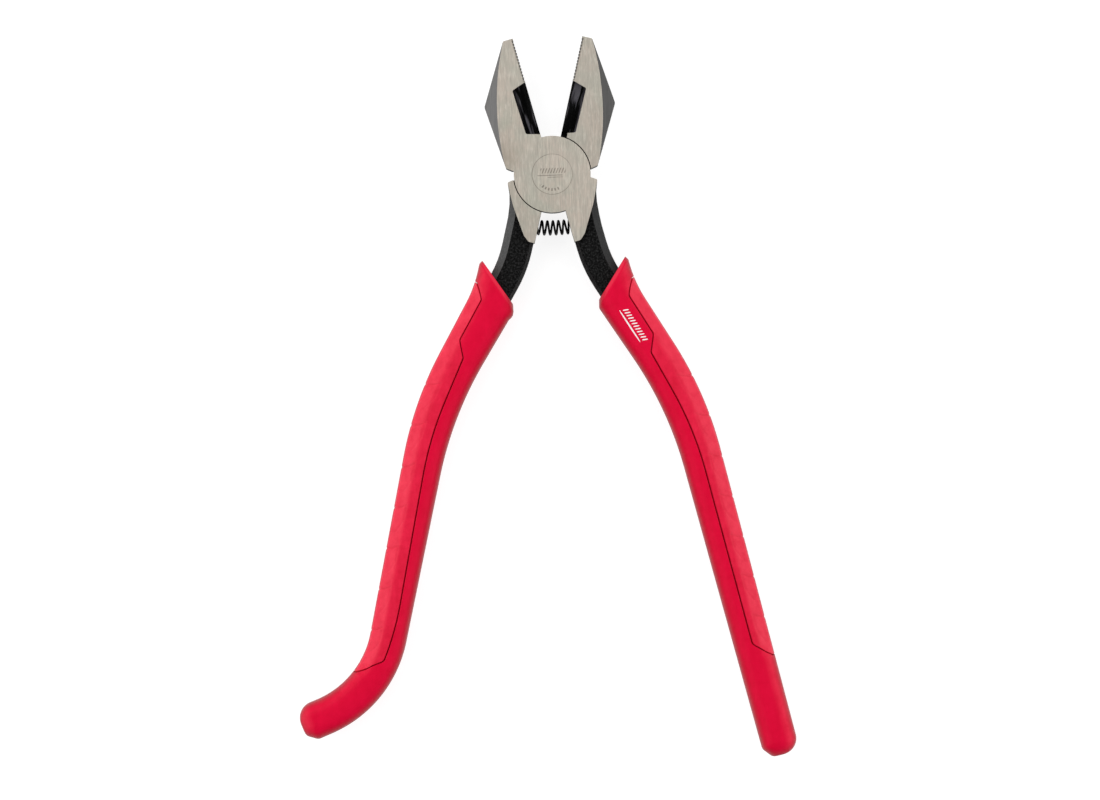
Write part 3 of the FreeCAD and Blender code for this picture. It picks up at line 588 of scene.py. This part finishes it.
def moulded_lines(grip, t, place):
    """Depth of the shallow lines that mark out a row of pads along the insert."""
    x, z, width = grip.section(t, place)
    aside = x * width
    phase = t - LINE_START - LINE_SLANT * (aside - FACET_CREST)
    from_line = phase - LINE_PITCH * np.round(phase / LINE_PITCH)
    past_line = phase - LINE_PITCH * np.floor(phase / LINE_PITCH)
    across = line_profile(from_line) * ramp(aside, FACET_CREST - LINE_SIDE_FADE, FACET_CREST)
    bend = FACET_CREST + np.clip(past_line - PAD_STRAIGHT, 0, None) * PAD_LEAN
    beside_pad = line_profile(aside - bend) * ramp(past_line, *PAD_LINE_FADE)
    beside_pad *= ramp(np.abs(z), *PAD_LINE_RISE)
    lines = np.maximum(across, beside_pad * PAD_LINE_SHARE)
    first = ramp(t, *FIRST_LINE_FADE)
    last = ramp(t, *(grip.seam_end - distance for distance in LAST_LINE_FADE))
    return LINE_DEPTH * lines * first * last


def run_below_mouth(grip, count, below, points_at):
    """Run at which each of the points lies a distance below the mouth plane."""
    t = np.full(count, SEARCH_START)
    for _ in range(SEARCH_ROUNDS):
        t = t + (below - grip.below_mouth(points_at(t))) * SEARCH_SHARE
    return t


def skin_run(grip, cols, below, depth):
    def points_at(t):
        return grip.surface(t, column_places(grip, t, cols), depth)

    return run_below_mouth(grip, cols.shape[1], below, points_at)


def bore_ring(grip, cols, below):
    """Ring on the sleeve's bore, hidden inside the tang."""
    start = np.full(cols.shape[1], SEARCH_START)
    x, z, _ = grip.section(start, column_places(grip, start, cols))

    def points_at(t):
        return grip.at(t, x * BORE_HALF_WIDTH, z * BORE_HALF_HEIGHT)

    return points_at(run_below_mouth(grip, cols.shape[1], below, points_at)), 0 * start


def skin_ring(grip, cols, t, sunk):
    return grip.surface(t, column_places(grip, t, cols), sunk), sunk


def mouth_rings(grip, cols):
    """Rings from the hidden bore out over the bevel of the mouth."""
    rings = [bore_ring(grip, cols, below) for below in BORE_DEPTHS]
    for below, depth in MOUTH_BEVEL:
        t = skin_run(grip, cols, below, depth)
        points = grip.surface(t, column_places(grip, t, cols), depth)
        rings.append((points, np.full(cols.shape[1], -depth)))
    return rings


def levelling_runs(grip, cols):
    """Runs that turn the oblique mouth level, with a step where the seam starts."""
    side, share = cols[:2]
    start = skin_run(grip, cols, MOUTH_BEVEL_END, 0.0)
    held = np.where(side == 1, 1.0, ramp(np.minimum(share, 1 - share), STEP_FADE, 0.0))
    usual_start = start[side == 1].mean()
    middle = (grip.seam_start - usual_start) / (LEVEL_RUN - usual_start)
    above = start + (LEVEL_RUN - start) * (middle - STEP_HALF_SHARE)
    below = start + (LEVEL_RUN - start) * (middle + STEP_HALF_SHARE)
    above += held * (grip.seam_start - STEP_HALF_RUN - above)
    below += held * (grip.seam_start + STEP_HALF_RUN - below)
    runs = [start + (above - start) * s for s in np.linspace(0, 1, UPPER_RINGS)]
    runs += [below + (LEVEL_RUN - below) * s for s in np.linspace(0, 1, LOWER_RINGS)[:-1]]
    return runs


def sleeve_rings(grip, cols):
    """Rings of the sleeve from the hidden inside of its mouth to its closed end."""
    rings = mouth_rings(grip, cols)
    depth = cols[3]
    step = (grip.seam_start - STEP_HALF_RUN, grip.seam_start + STEP_HALF_RUN)
    for t in levelling_runs(grip, cols):
        rings.append(skin_ring(grip, cols, t, depth * ramp(t, *step)))
    body = np.arange(LEVEL_RUN, grip.length - END_RADIUS, RING_STEP)
    cap = grip.length - END_RADIUS * (1 - np.sin(CAP_ANGLES))
    step = (grip.seam_end + STEP_HALF_RUN, grip.seam_end - STEP_HALF_RUN)
    for level in np.sort(np.concatenate([body, cap, step])):
        t = np.full(cols.shape[1], level)
        rings.append(skin_ring(grip, cols, t, depth * ramp(t, *step)))
    return rings


def insert_rings(grip, cols):
    """Rings of the insert between the two ends of the seam."""
    rings = []
    first, last = grip.seam_start + INSERT_END_GAP, grip.seam_end - INSERT_END_GAP
    inside = np.linspace(
        first + INSERT_BODY_START, last - INSERT_BODY_START, int((last - first) / INSERT_RING_STEP)
    )
    ends = (first + INSERT_END_STEPS, (last - INSERT_END_STEPS)[::-1])
    on_skin = cols[3] < INSERT_DEPTH
    for level in np.concatenate([ends[0], inside, ends[1]]):
        t = np.full(cols.shape[1], level)
        place = column_places(grip, t, cols)
        from_end = ramp(min(level - first, last - level), 0, INSERT_END_STEPS[-1])
        sunk = cols[3] + on_skin * INSERT_END_GAP * (1 - from_end) ** 2
        lines = on_skin * moulded_lines(grip, t, place)
        # The lines' depth, scaled down, also goes into the depth attribute as painted shade in the
        # lines.
        rings.append((grip.surface(t, place, sunk + lines), sunk + lines * LINE_SHADE_SHARE))
    return rings


# ------------------------------------------------------------------------ meshes


def grid_faces(rows, columns, closed=True):
    """Quads between rows of points; closed joins the last column to the first."""
    faces = []
    for row in range(rows - 1):
        for column in range(columns if closed else columns - 1):
            after = (column + 1) % columns
            a, b = row * columns, (row + 1) * columns
            faces.append((a + column, a + after, b + after, b + column))
    return faces


def tube_faces(rows, columns):
    """Quads round a tube, and a face over each of its ends."""
    last = (rows - 1) * columns
    ends = [tuple(reversed(range(columns))), tuple(range(last, last + columns))]
    return grid_faces(rows, columns) + ends


def new_mesh(name, points, faces):
    mesh = bpy.data.meshes.new(name)
    mesh.from_pydata([tuple(point) for point in points], [], faces)
    return mesh


def finish_mesh(name, mesh, sharp_angle, material):
    mesh.shade_smooth()
    mesh.set_sharp_from_angle(angle=math.radians(sharp_angle))
    mesh.materials.append(material)
    piece = bpy.data.objects.new(name, mesh)
    bpy.context.scene.collection.objects.link(piece)
    return piece


def ring_mesh(name, rings, hooked, material):
    """Closed mesh through rings of points, with each point's depth kept on it."""
    points = placed(np.concatenate([ring for ring, _ in rings]), hooked)
    depths = np.concatenate([depth for _, depth in rings])
    mesh = new_mesh(name, points, tube_faces(len(rings), len(rings[0][0])))
    layer = mesh.attributes.new("sunk", "FLOAT", "POINT")
    layer.data.foreach_set("value", depths.astype(np.float32))
    work = bmesh.new()
    work.from_mesh(mesh)
    bmesh.ops.remove_doubles(work, verts=work.verts, dist=WELD_DISTANCE)
    bmesh.ops.dissolve_degenerate(work, edges=work.edges, dist=SLIVER_DISTANCE)
    bmesh.ops.triangulate(work, faces=[f for f in work.faces if len(f.verts) > 4])
    bmesh.ops.recalc_face_normals(work, faces=work.faces)
    work.to_mesh(mesh)
    work.free()
    return finish_mesh(name, mesh, GRIP_SHARP_ANGLE, material)


def build_grip(name, hooked, body, sleeve_material, insert_material):
    grip = Grip(hooked)
    for part, cols, rings, material, slot in (
        ("sleeve", sleeve_columns(), sleeve_rings, sleeve_material, "grip_red"),
        ("insert", insert_columns(), insert_rings, insert_material, "insert_red"),
    ):
        piece = ring_mesh(f"{name}_{part}_moulded", rings(grip, cols), hooked, material)
        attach(piece, body)
        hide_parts(f"{name}_{part}")
    return grip


# ------------------------------------------------------------------ printed mark


def printed_strip(grip, centre_line, half_widths):
    """Points and faces of a strip of ink laid on the front of the grip."""
    across = np.linspace(-1, 1, 5)
    aside = turned_left(directions(centre_line))
    grid = centre_line[:, None] + aside[:, None] * (half_widths[:, None] * across)[..., None]
    t, out = grid[..., 0].ravel(), grid[..., 1].ravel()
    points = placed(grip.surface(t, grip.place_of(t, out), -INK_RISE), grip.hooked)
    return points, grid_faces(len(centre_line), len(across), closed=False)


def dash_strips():
    """Row of slanted dashes with rounded ends."""
    steps = np.linspace(-DASH_REACH, DASH_REACH, 12)
    half_widths = DASH_HALF_WIDTH * np.sqrt(1 - (steps / DASH_REACH) ** 4 * DASH_ROUNDING)
    slanted = np.stack([steps * DASH_SLANT, steps], axis=1)
    for number in range(DASH_COUNT):
        yield slanted + np.add(FIRST_DASH, (number * DASH_STEP, 0)), half_widths


def bar_strip():
    """Bar that tapers to both of its ends."""
    steps = np.linspace(0, 1, 60)
    line = np.stack([BAR_LENGTH * steps, 0 * steps], axis=1) + BAR_START
    thin, thick = BAR_HALF_WIDTHS
    return line, thin + (thick - thin) * np.sin(steps * math.pi) ** 0.5


def build_print(grip, material):
    """Plain printed mark: a row of slanted dashes beside a tapered bar."""
    points, faces = [], []
    for line, half_widths in [*dash_strips(), bar_strip()]:
        strip_points, strip_faces = printed_strip(grip, line, half_widths)
        faces += [tuple(corner + len(points) for corner in face) for face in strip_faces]
        points += list(strip_points)
    mesh = new_mesh("grip_print", points, faces)
    work = bmesh.new()
    work.from_mesh(mesh)
    bmesh.ops.reverse_faces(work, faces=[f for f in work.faces if f.normal.z < 0])
    work.to_mesh(mesh)
    work.free()
    piece = finish_mesh("grip_print", mesh, GRIP_SHARP_ANGLE, material)
    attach(piece, FRONT_BODY)


# ------------------------------------------------------------------------ spring


def coil_line():
    """Centre line of the wire, and the direction out from the coil's middle."""
    reach = SPRING_LENGTH / 2 - WIRE_RADIUS
    along = np.linspace(-reach, reach, int(reach * 2 / COIL_PITCH * POINTS_PER_TURN))
    angle = (along + COIL_SHIFT) / COIL_PITCH * 2 * math.pi
    lean = along / SPRING_BEND
    around = np.cos(angle)
    out = np.stack([-np.sin(lean) * around, np.cos(lean) * around, np.sin(angle)], axis=1)
    middle = np.stack([np.sin(lean), 1 - np.cos(lean), 0 * lean], axis=1) * SPRING_BEND
    return middle + (0, -SPRING_DROP, MIDDLE) + out * COIL_RADIUS, out


def build_spring(material):
    """Coil between the seats in the two tangs."""
    centre, out = coil_line()
    side = np.cross(directions(centre), out)
    sides = []
    for spin in np.linspace(0, 2 * math.pi, POINTS_ROUND_WIRE, endpoint=False):
        sides.append(centre + WIRE_RADIUS * (math.cos(spin) * out + math.sin(spin) * side))
    points = np.stack(sides, axis=1).reshape(-1, 3) * MM
    faces = [face[::-1] for face in tube_faces(len(centre), POINTS_ROUND_WIRE)]
    mesh = new_mesh("return_spring_coil", points, faces)
    piece = finish_mesh("return_spring_coil", mesh, WIRE_SHARP_ANGLE, material)
    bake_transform(piece)
    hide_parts("return_spring")


# --------------------------------------------------------------------- materials


class Shader:
    """A material being wired up; inputs may be numbers, colours or other sockets."""

    def __init__(self, name):
        self.material = bpy.data.materials.new(name)
        self.material.use_nodes = True
        self.tree = self.material.node_tree
        self.surface = self.tree.nodes["Principled BSDF"]
        coordinates = self.add("ShaderNodeTexCoord")
        self.place = coordinates.outputs["Object"]
        self.normal = coordinates.outputs["Normal"]

    def add(self, kind, inputs=None, **settings):
        node = self.tree.nodes.new(kind)
        for key, value in settings.items():
            setattr(node, key, value)
        for key, value in (inputs or {}).items():
            self.set(node.inputs[key], value)
        return node

    def set(self, socket, value):
        if isinstance(value, bpy.types.NodeSocket):
            self.tree.links.new(value, socket)
        else:
            socket.default_value = value

    def math(self, operation, *values):
        return self.add("ShaderNodeMath", dict(enumerate(values)), operation=operation).outputs[0]

    def times(self, *values):
        result = values[0]
        for value in values[1:]:
            result = self.math("MULTIPLY", result, value)
        return result

    def most(self, *values):
        result = values[0]
        for value in values[1:]:
            result = self.math("MAXIMUM", result, value)
        return result

    def gap(self, value, place):
        """Distance of a value from a place given in millimetres."""
        return self.math("ABSOLUTE", self.math("SUBTRACT", value, place * MM))

    def split(self, vector):
        return self.add("ShaderNodeSeparateXYZ", {0: vector}).outputs

    def turned(self, vector, angle):
        inputs = {"Vector": vector, "Rotation": (0, 0, angle)}
        return self.add("ShaderNodeMapping", inputs).outputs[0]

    def noise(self, scale, detail=3.0, roughness=0.55, vector=None):
        inputs = {
            "Vector": self.place if vector is None else vector,
            "Scale": scale,
            "Detail": detail,
            "Roughness": roughness,
        }
        return self.add("ShaderNodeTexNoise", inputs).outputs["Fac"]

    def stretched_noise(self, scale, detail, roughness, vector=None):
        inputs = {"Vector": self.place if vector is None else vector, "Scale": scale}
        stretched = self.add("ShaderNodeMapping", inputs).outputs[0]
        return self.noise(1.0, detail, roughness, stretched)

    def span(self, value, low, high, to_low=0.0, to_high=1.0):
        inputs = {
            "Value": value,
            "From Min": low,
            "From Max": high,
            "To Min": to_low,
            "To Max": to_high,
        }
        return self.add("ShaderNodeMapRange", inputs).outputs["Result"]

    def edge(self, value, begins, complete):
        """Change from 0 to 1 between two places given in millimetres."""
        return self.span(value, begins * MM, complete * MM)

    def blend(self, factor, first, second):
        node = self.add("ShaderNodeMix", data_type="RGBA")
        for socket, value in zip((0, 6, 7), (factor, first, second)):
            self.set(node.inputs[socket], value)
        return node.outputs[2]

    def mix(self, factor, first, second):
        node = self.add("ShaderNodeMix", data_type="FLOAT")
        for socket, value in zip((0, 2, 3), (factor, first, second)):
            self.set(node.inputs[socket], value)
        return node.outputs[0]

    def bump(self, height, strength, distance, normal=None):
        inputs = {"Height": height, "Strength": strength, "Distance": distance}
        if normal is not None:
            inputs["Normal"] = normal
        return self.add("ShaderNodeBump", inputs).outputs[0]

    def finish(self, **inputs):
        for key, value in inputs.items():
            self.set(self.surface.inputs[key.replace("_", " ")], value)
        return self.material


def grey(level, warmth=1.0):
    return (level * warmth, level, level / warmth, 1)


def toned(tone, red, green, blue):
    return (red * tone, green * tone, blue * tone, 1)


def box_mask(sh, x, y, centre, half_size):
    """1 inside a soft-edged rectangle on the rivet's face, 0 outside."""
    masks = []
    for value, middle, half in zip((x, y), centre, half_size):
        gap = sh.gap(value, middle)
        masks.append(sh.edge(gap, half + ENGRAVING_SOFTNESS, half - ENGRAVING_SOFTNESS))
    return sh.times(*masks)


def rivet_marks(sh, wear):
    """Worn ring at the rivet's edge, with plain bars and an arc of dots inside it."""
    x, y, _ = sh.split(sh.place)
    radius = sh.math("SQRT", sh.math("ADD", sh.times(x, x), sh.times(y, y)))
    ring = sh.edge(sh.gap(radius, RIVET_HEAD_RADIUS), *RING_WIDTH)
    ring = sh.times(ring, sh.span(wear, 0.3, 0.62, 0.2, 0.7))
    wave_x, wave_y = HATCH_WAVES
    hatching = sh.math("SINE", sh.math("ADD", sh.times(x, wave_x), sh.times(y, wave_y)))
    hatched = sh.times(box_mask(sh, x, y, *HATCHED_BAR), sh.span(hatching, 0.0, 0.5))
    lines = [box_mask(sh, x, y, *box) for box in ENGRAVED_LINES]
    engraved = sh.most(hatched, *lines, dot_arc(sh, radius, sh.math("ARCTAN2", y, x)))
    return sh.most(ring, sh.times(engraved, sh.span(wear, 0.3, 0.7, 0.45, 0.9)))


def dot_arc(sh, radius, angle):
    start, end = DOT_ARC_ENDS
    return sh.times(
        sh.edge(sh.gap(radius, DOT_ARC_RADIUS), *DOT_ARC_WIDTH),
        sh.span(sh.math("SINE", sh.times(angle, DOT_WAVES)), -0.2, 0.3),
        sh.span(angle, start, start + 0.05),
        sh.span(angle, end, end - 0.05),
    )


class Finishes:
    """Masks that pick out the differently finished parts of a forging, with outward-facing chamfers
    for painted light and the toothed edge for painted shade.
    """

    def __init__(self, sh, angle, side):
        x_normal, _, z_normal = sh.split(sh.normal)
        facing = sh.math("ABSOLUTE", z_normal)
        self.closed = sh.turned(sh.place, angle)
        x, y, z = sh.split(self.closed)
        self.aside = sh.math("ABSOLUTE", x)
        lift = sh.gap(z, MIDDLE)
        self.ground = sh.times(sh.edge(lift, *FACE_LIFT), sh.span(facing, 0.8, 0.9))
        outside = sh.most(sh.edge(self.aside, *BEVEL_ASIDE), sh.edge(y, *BEVEL_TOP))
        self.bevel = sh.times(sh.span(facing, 0.3, 0.4), sh.edge(y, *BEVEL_FOOT), outside)
        self.recess = sh.times(
            sh.edge(y, *RECESS_FOOT),
            sh.edge(y, *RECESS_TOP),
            sh.edge(self.aside, *RECESS_ASIDE),
        )
        slanted = sh.times(sh.span(facing, 0.4, 0.6), sh.span(facing, 0.97, 0.85))
        # Outward-facing chamfers take the full painted light, inward-facing ones 0.3 of it.
        outward = sh.span(sh.times(x_normal, side), 0.0, 0.2, 0.3, 1.0)
        self.chamfer = sh.times(sh.edge(y, *CHAMFER_TOP), slanted, outward)
        # Painted shade: dark bands along the toothed edge of the jaw, one per tooth.
        wave = sh.math("SINE", sh.times(y, 2 * math.pi / (TOOTH_PITCH * MM)))
        self.tooth_shade = sh.times(
            sh.span(wave, -0.9, 0.3, 0.35, 1.0),
            sh.edge(self.aside, *TOOTH_ASIDE),
            sh.edge(y, *TOOTH_FOOT),
        )


def ground_colour(sh, tone, lines, blotch, marks_and_tooth_shade):
    """Warm brushed steel with scratches, painted glints, one brown smudge, dark engraved marks and
    painted shade along the teeth.
    """
    pink = toned(tone, 0.60, 0.515, 0.435)
    green = toned(tone, 0.49, 0.48, 0.40)
    colour = sh.blend(sh.span(blotch, 0.40, 0.60), pink, green)
    cloud = sh.noise(48.0, 2.0, 0.5)
    cloudy = sh.span(cloud, 0.35, 0.65, 0.0, 0.5)
    colour = sh.blend(cloudy, colour, toned(tone, 0.59, 0.55, 0.48))
    colour = sh.blend(sh.span(lines, 0.38, 0.62, 0.0, 0.75), colour, SCRATCH_GREY)
    # Painted highlights: scattered paler glints over the ground steel.
    glint = sh.stretched_noise((1500, 300, 500), 3.0, 0.6)
    colour = sh.blend(sh.span(glint, 0.5, 0.72, 0.0, 0.4), colour, GLINT_GREY)
    spot = {0: sh.place, 1: [size * MM for size in SMUDGE_SPOT]}
    distance = sh.add("ShaderNodeVectorMath", spot, operation="DISTANCE").outputs["Value"]
    smudge = sh.times(sh.edge(distance, *SMUDGE_REACH), sh.span(blotch, 0.3, 0.6, 0.3, 0.65))
    colour = sh.blend(smudge, colour, SMUDGE_BROWN)
    # Engraved marks and painted tooth shade in dark brown.
    return sh.blend(sh.times(marks_and_tooth_shade, 0.85), colour, ENGRAVED_AND_TOOTH_SHADE_BROWN)


def oxide_colour(sh, finishes, tone, grain, streaks):
    """Grainy black, with paler chamfers as painted light and painted highlight streaks in the jaw's
    recess.
    """
    colour = sh.blend(sh.span(grain, 0.46, 0.68), grey(0.002), grey(0.030))
    # Painted light: paler grey on the tangs' chamfers, fullest where they face outward.
    painted_chamfer_light = sh.blend(sh.span(grain, 0.35, 0.7), grey(tone * 0.8), grey(tone * 1.35))
    colour = sh.blend(finishes.chamfer, colour, painted_chamfer_light)
    # Painted highlights: paler streaks over the recess and along its edge, on a near-black base.
    rim = sh.edge(finishes.aside, *RECESS_EDGE)
    rim_light = sh.times(rim, sh.span(streaks, 0.35, 0.55, 0.1, 0.7))
    highlight_streaks = sh.most(sh.span(streaks, 0.53, 0.64), rim_light)
    shine = sh.blend(highlight_streaks, grey(0.0008), RECESS_HIGHLIGHT_GREY)
    return sh.blend(finishes.recess, colour, shine)


def steel_texture(sh, polished, grain, lines, marks_and_tooth_shade):
    """Normal of the steel: forged grain, or fine lines where it is ground."""
    lumps = sh.noise(420.0, 2.0, 0.5)
    forged = sh.math("ADD", sh.times(grain, 0.7), sh.times(lumps, 0.9))
    height = sh.mix(polished, forged, sh.times(lines, 0.14))
    height = sh.math("SUBTRACT", height, sh.times(marks_and_tooth_shade, 0.35))
    soft_edge = sh.add("ShaderNodeBevel", {"Radius": 0.00016}, samples=4).outputs[0]
    return sh.bump(height, 0.6, 0.00012, soft_edge)


def steel(name, angle, side, lit_face_tone, lit_bevel_tone, lit_chamfer_tone):
    """Forging: ground faces, dark ground bevels, and black oxide everywhere else."""
    sh = Shader(name)
    finishes = Finishes(sh, angle, side)
    ground, bevel, recess = finishes.ground, finishes.bevel, finishes.recess
    brushed = sh.stretched_noise((2600, 90, 400), 4.0, 0.7)
    hair = sh.stretched_noise((7000, 260, 900), 2.0, 0.6)
    lines = sh.math("ADD", sh.times(brushed, 0.6), sh.times(hair, 0.4))
    blotch = sh.noise(110.0, 4.0, 0.62)
    grain = sh.noise(1700.0, 4.0, 0.7)
    streaks = sh.stretched_noise((800, 90, 300), 2.0, 0.5, finishes.closed)
    marks_and_tooth_shade = sh.most(rivet_marks(sh, blotch), finishes.tooth_shade)

    pale = ground_colour(sh, lit_face_tone, lines, blotch, marks_and_tooth_shade)
    black = oxide_colour(sh, finishes, lit_chamfer_tone, grain, streaks)
    light, dark = grey(lit_bevel_tone * 1.2, 1.02), grey(lit_bevel_tone * 0.8, 1.01)
    bevelled = sh.blend(sh.span(lines, 0.3, 0.7), light, dark)
    colour = sh.blend(ground, sh.blend(bevel, black, bevelled), pale)

    rough = sh.mix(recess, sh.span(grain, 0.3, 0.7, 0.42, 0.58), sh.span(streaks, 0.3, 0.7, 0.2, 0.34))
    rough = sh.mix(bevel, rough, sh.span(lines, 0.3, 0.7, 0.36, 0.46))
    rough = sh.mix(ground, rough, sh.span(lines, 0.3, 0.7, 0.34, 0.46))
    metal = sh.mix(ground, sh.times(bevel, 0.4), 0.4)
    normal = steel_texture(sh, sh.most(ground, bevel, recess), grain, lines, marks_and_tooth_shade)
    inputs = {"Base_Color": colour, "Roughness": rough, "Metallic": metal, "Normal": normal}
    return sh.finish(Specular_IOR_Level=0.03, **inputs)


def spring_steel():
    sh = Shader("black_spring_wire")
    drawn = sh.noise(1800.0, 3.0)
    colour = sh.blend(sh.span(drawn, 0.3, 0.7), grey(0.0015), grey(0.008))
    normal = sh.bump(drawn, 0.25, 0.00004)
    rough = sh.span(drawn, 0.3, 0.7, 0.3, 0.45)
    return sh.finish(Base_Color=colour, Roughness=rough, Specular_IOR_Level=0.15, Normal=normal)


def moulded(name, light, rim, roughness, shine, grain_scale, grain_strength):
    """Moulded grip plastic: mottled, paler on its outer corners and mouth bevel as painted sheen,
    darker on its side walls, in its seam and in its moulded lines as painted shade.
    """
    sh = Shader(name)
    cloud = sh.noise(260.0, 4.0, 0.7)
    flow = sh.stretched_noise((700, 60, 500), 2.0, 0.5)
    mottle = sh.math("ADD", sh.times(cloud, 0.7), sh.times(flow, 0.3))
    colour = sh.blend(sh.span(mottle, 0.35, 0.65), DEEP_RED, light)

    x_normal, _, z_normal = sh.split(sh.normal)
    outward = sh.times(x_normal, sh.math("SIGN", sh.split(sh.place)[0]))
    facing = sh.math("ABSOLUTE", z_normal)
    sunk = sh.add("ShaderNodeAttribute", attribute_name="sunk").outputs["Fac"]
    # Painted sheen: paler red where the surface faces outward and on the mouth's bevel, whose depth is
    # negative.
    corner = sh.times(sh.span(outward, 0.1, 0.7, 0.0, 0.75), sh.span(cloud, 0.3, 0.65, 0.4, 1.0))
    painted_sheen = sh.most(corner, sh.span(sunk, -0.03, -0.3, 0.0, 0.7))
    colour = sh.blend(painted_sheen, colour, PAINTED_SHEEN_RED)
    # Painted shade: darker red on the side walls, fading in as the surface turns from facing up or
    # down to facing sideways.
    colour = sh.blend(sh.span(facing, rim, 0.05, 0.0, 0.9), colour, SIDE_SHADE_RED)
    # Painted shade: darker red where the depth attribute says the surface is sunk, in the seam's
    # groove, at the insert's ends and in its moulded lines.
    colour = sh.blend(sh.span(sunk, 0.01, 0.15), colour, GROOVE_SHADE_RED)

    grain = sh.noise(grain_scale, 2.0, 0.6)
    rough = sh.span(grain, 0.3, 0.7, roughness - 0.05, roughness + 0.07)
    height = sh.math("ADD", grain, sh.times(flow, 0.6))
    normal = sh.bump(height, grain_strength, 0.00006)
    return sh.finish(Base_Color=colour, Roughness=rough, Specular_IOR_Level=shine, Normal=normal)


def ink():
    sh = Shader("white_ink")
    speckle = sh.noise(2500.0, 2.0)
    colour = sh.blend(sh.span(speckle, 0.4, 0.75), (0.90, 0.87, 0.87, 1), (0.84, 0.70, 0.71, 1))
    normal = sh.bump(speckle, 0.2, 0.00003)
    rough = sh.span(speckle, 0.3, 0.7, 0.42, 0.55)
    return sh.finish(Base_Color=colour, Roughness=rough, Specular_IOR_Level=0.2, Normal=normal)


def floor_paper():
    sh = Shader("floor_paper")
    fibre = sh.noise(60.0, 3.0)
    colour = sh.blend(fibre, grey(0.27), grey(0.30))
    glow = sh.blend(fibre, grey(0.98), grey(1.0))
    light = {"Emission_Color": glow, "Emission_Strength": FLOOR_GLOW}
    return sh.finish(Base_Color=colour, Roughness=0.9, **light)


def paint(node, material):
    """Give a CAD node one procedural material."""
    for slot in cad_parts[node].material_slots:
        slot.material = material


# ------------------------------------------------------------------------- scene


def area_light(name, spot, size, radiance):
    """Soft box aimed at the middle of the tool."""
    data = bpy.data.lights.new(name, "AREA")
    data.shape = "RECTANGLE"
    data.size, data.size_y = size
    data.energy = radiance * math.pi * size[0] * size[1]
    lamp = bpy.data.objects.new(name, data)
    bpy.context.scene.collection.objects.link(lamp)
    look = np.subtract(LIGHT_TARGET, spot)
    lamp.location = spot
    lamp.rotation_euler = (
        math.atan2(math.hypot(look[0], look[1]), -look[2]),
        0,
        math.atan2(look[1], look[0]) - math.pi / 2,
    )


def build_stage():
    low = cad_box[0][2] - FLOOR_CLEARANCE
    size = FLOOR_HALF_SIZE
    corners = [(-size, -size, low), (size, -size, low), (size, size, low), (-size, size, low)]
    mesh = new_mesh("floor", corners, [(0, 1, 2, 3)])
    mesh.materials.append(floor_paper())
    floor = bpy.data.objects.new("floor", mesh)
    bpy.context.scene.collection.objects.link(floor)


def build_lights():
    world = bpy.data.worlds.new("studio")
    world.use_nodes = True
    background = world.node_tree.nodes["Background"]
    background.inputs["Color"].default_value = grey(1.0)
    background.inputs["Strength"].default_value = WORLD_STRENGTH
    bpy.context.scene.world = world
    for light in LIGHTS:
        area_light(*light)


def build_camera():
    """Camera square above the tool, turned so that the tool leans as it should."""
    data = bpy.data.cameras.new("camera")
    data.lens = CAMERA_LENS
    data.sensor_width = CAMERA_SENSOR
    data.clip_end = 20
    camera = bpy.data.objects.new("camera", data)
    bpy.context.scene.collection.objects.link(camera)
    height = 1.5 * MIDDLE + SEEN_WIDTH * CAMERA_LENS / CAMERA_SENSOR
    camera.location = [size * MM for size in (*CAMERA_CENTRE, height)]
    camera.rotation_euler = (0, 0, CAMERA_TURN)
    bpy.context.scene.camera = camera


def paint_steel():
    # The halves share one finish, painted as lit and shaded copies: the rear half's face and bevels
    # are darker as painted shade, its chamfers paler as painted light.
    front = {"angle": -HALF_OPENING, "side": 1, "lit_bevel_tone": 0.15, "lit_chamfer_tone": 0.036}
    paint("front_half", steel("front_forging", lit_face_tone=0.95, **front))
    paint("pivot_rivet", steel("rivet_steel", lit_face_tone=1.0, **front))
    rear = {"angle": HALF_OPENING, "side": -1, "lit_bevel_tone": 0.085, "lit_chamfer_tone": 0.075}
    paint("rear_half", steel("rear_forging", lit_face_tone=0.88, **rear))


def build_grips():
    sleeve = moulded(
        "red_sleeve", SLEEVE_RED, rim=0.85, roughness=0.40, shine=0.06,
        grain_scale=5200.0, grain_strength=0.14,
    )
    insert = moulded(
        "red_insert", INSERT_RED, rim=0.35, roughness=0.48, shine=0.16,
        grain_scale=3000.0, grain_strength=0.45,
    )
    straight = build_grip("straight_grip", False, FRONT_BODY, sleeve, insert)
    build_grip("hooked_grip", True, REAR_BODY, sleeve, insert)
    build_print(straight, ink())


def main():
    paint_steel()
    build_grips()
    build_spring(spring_steel())
    build_stage()
    build_lights()
    build_camera()
    bpy.context.scene.view_settings.view_transform = "Standard"


main()
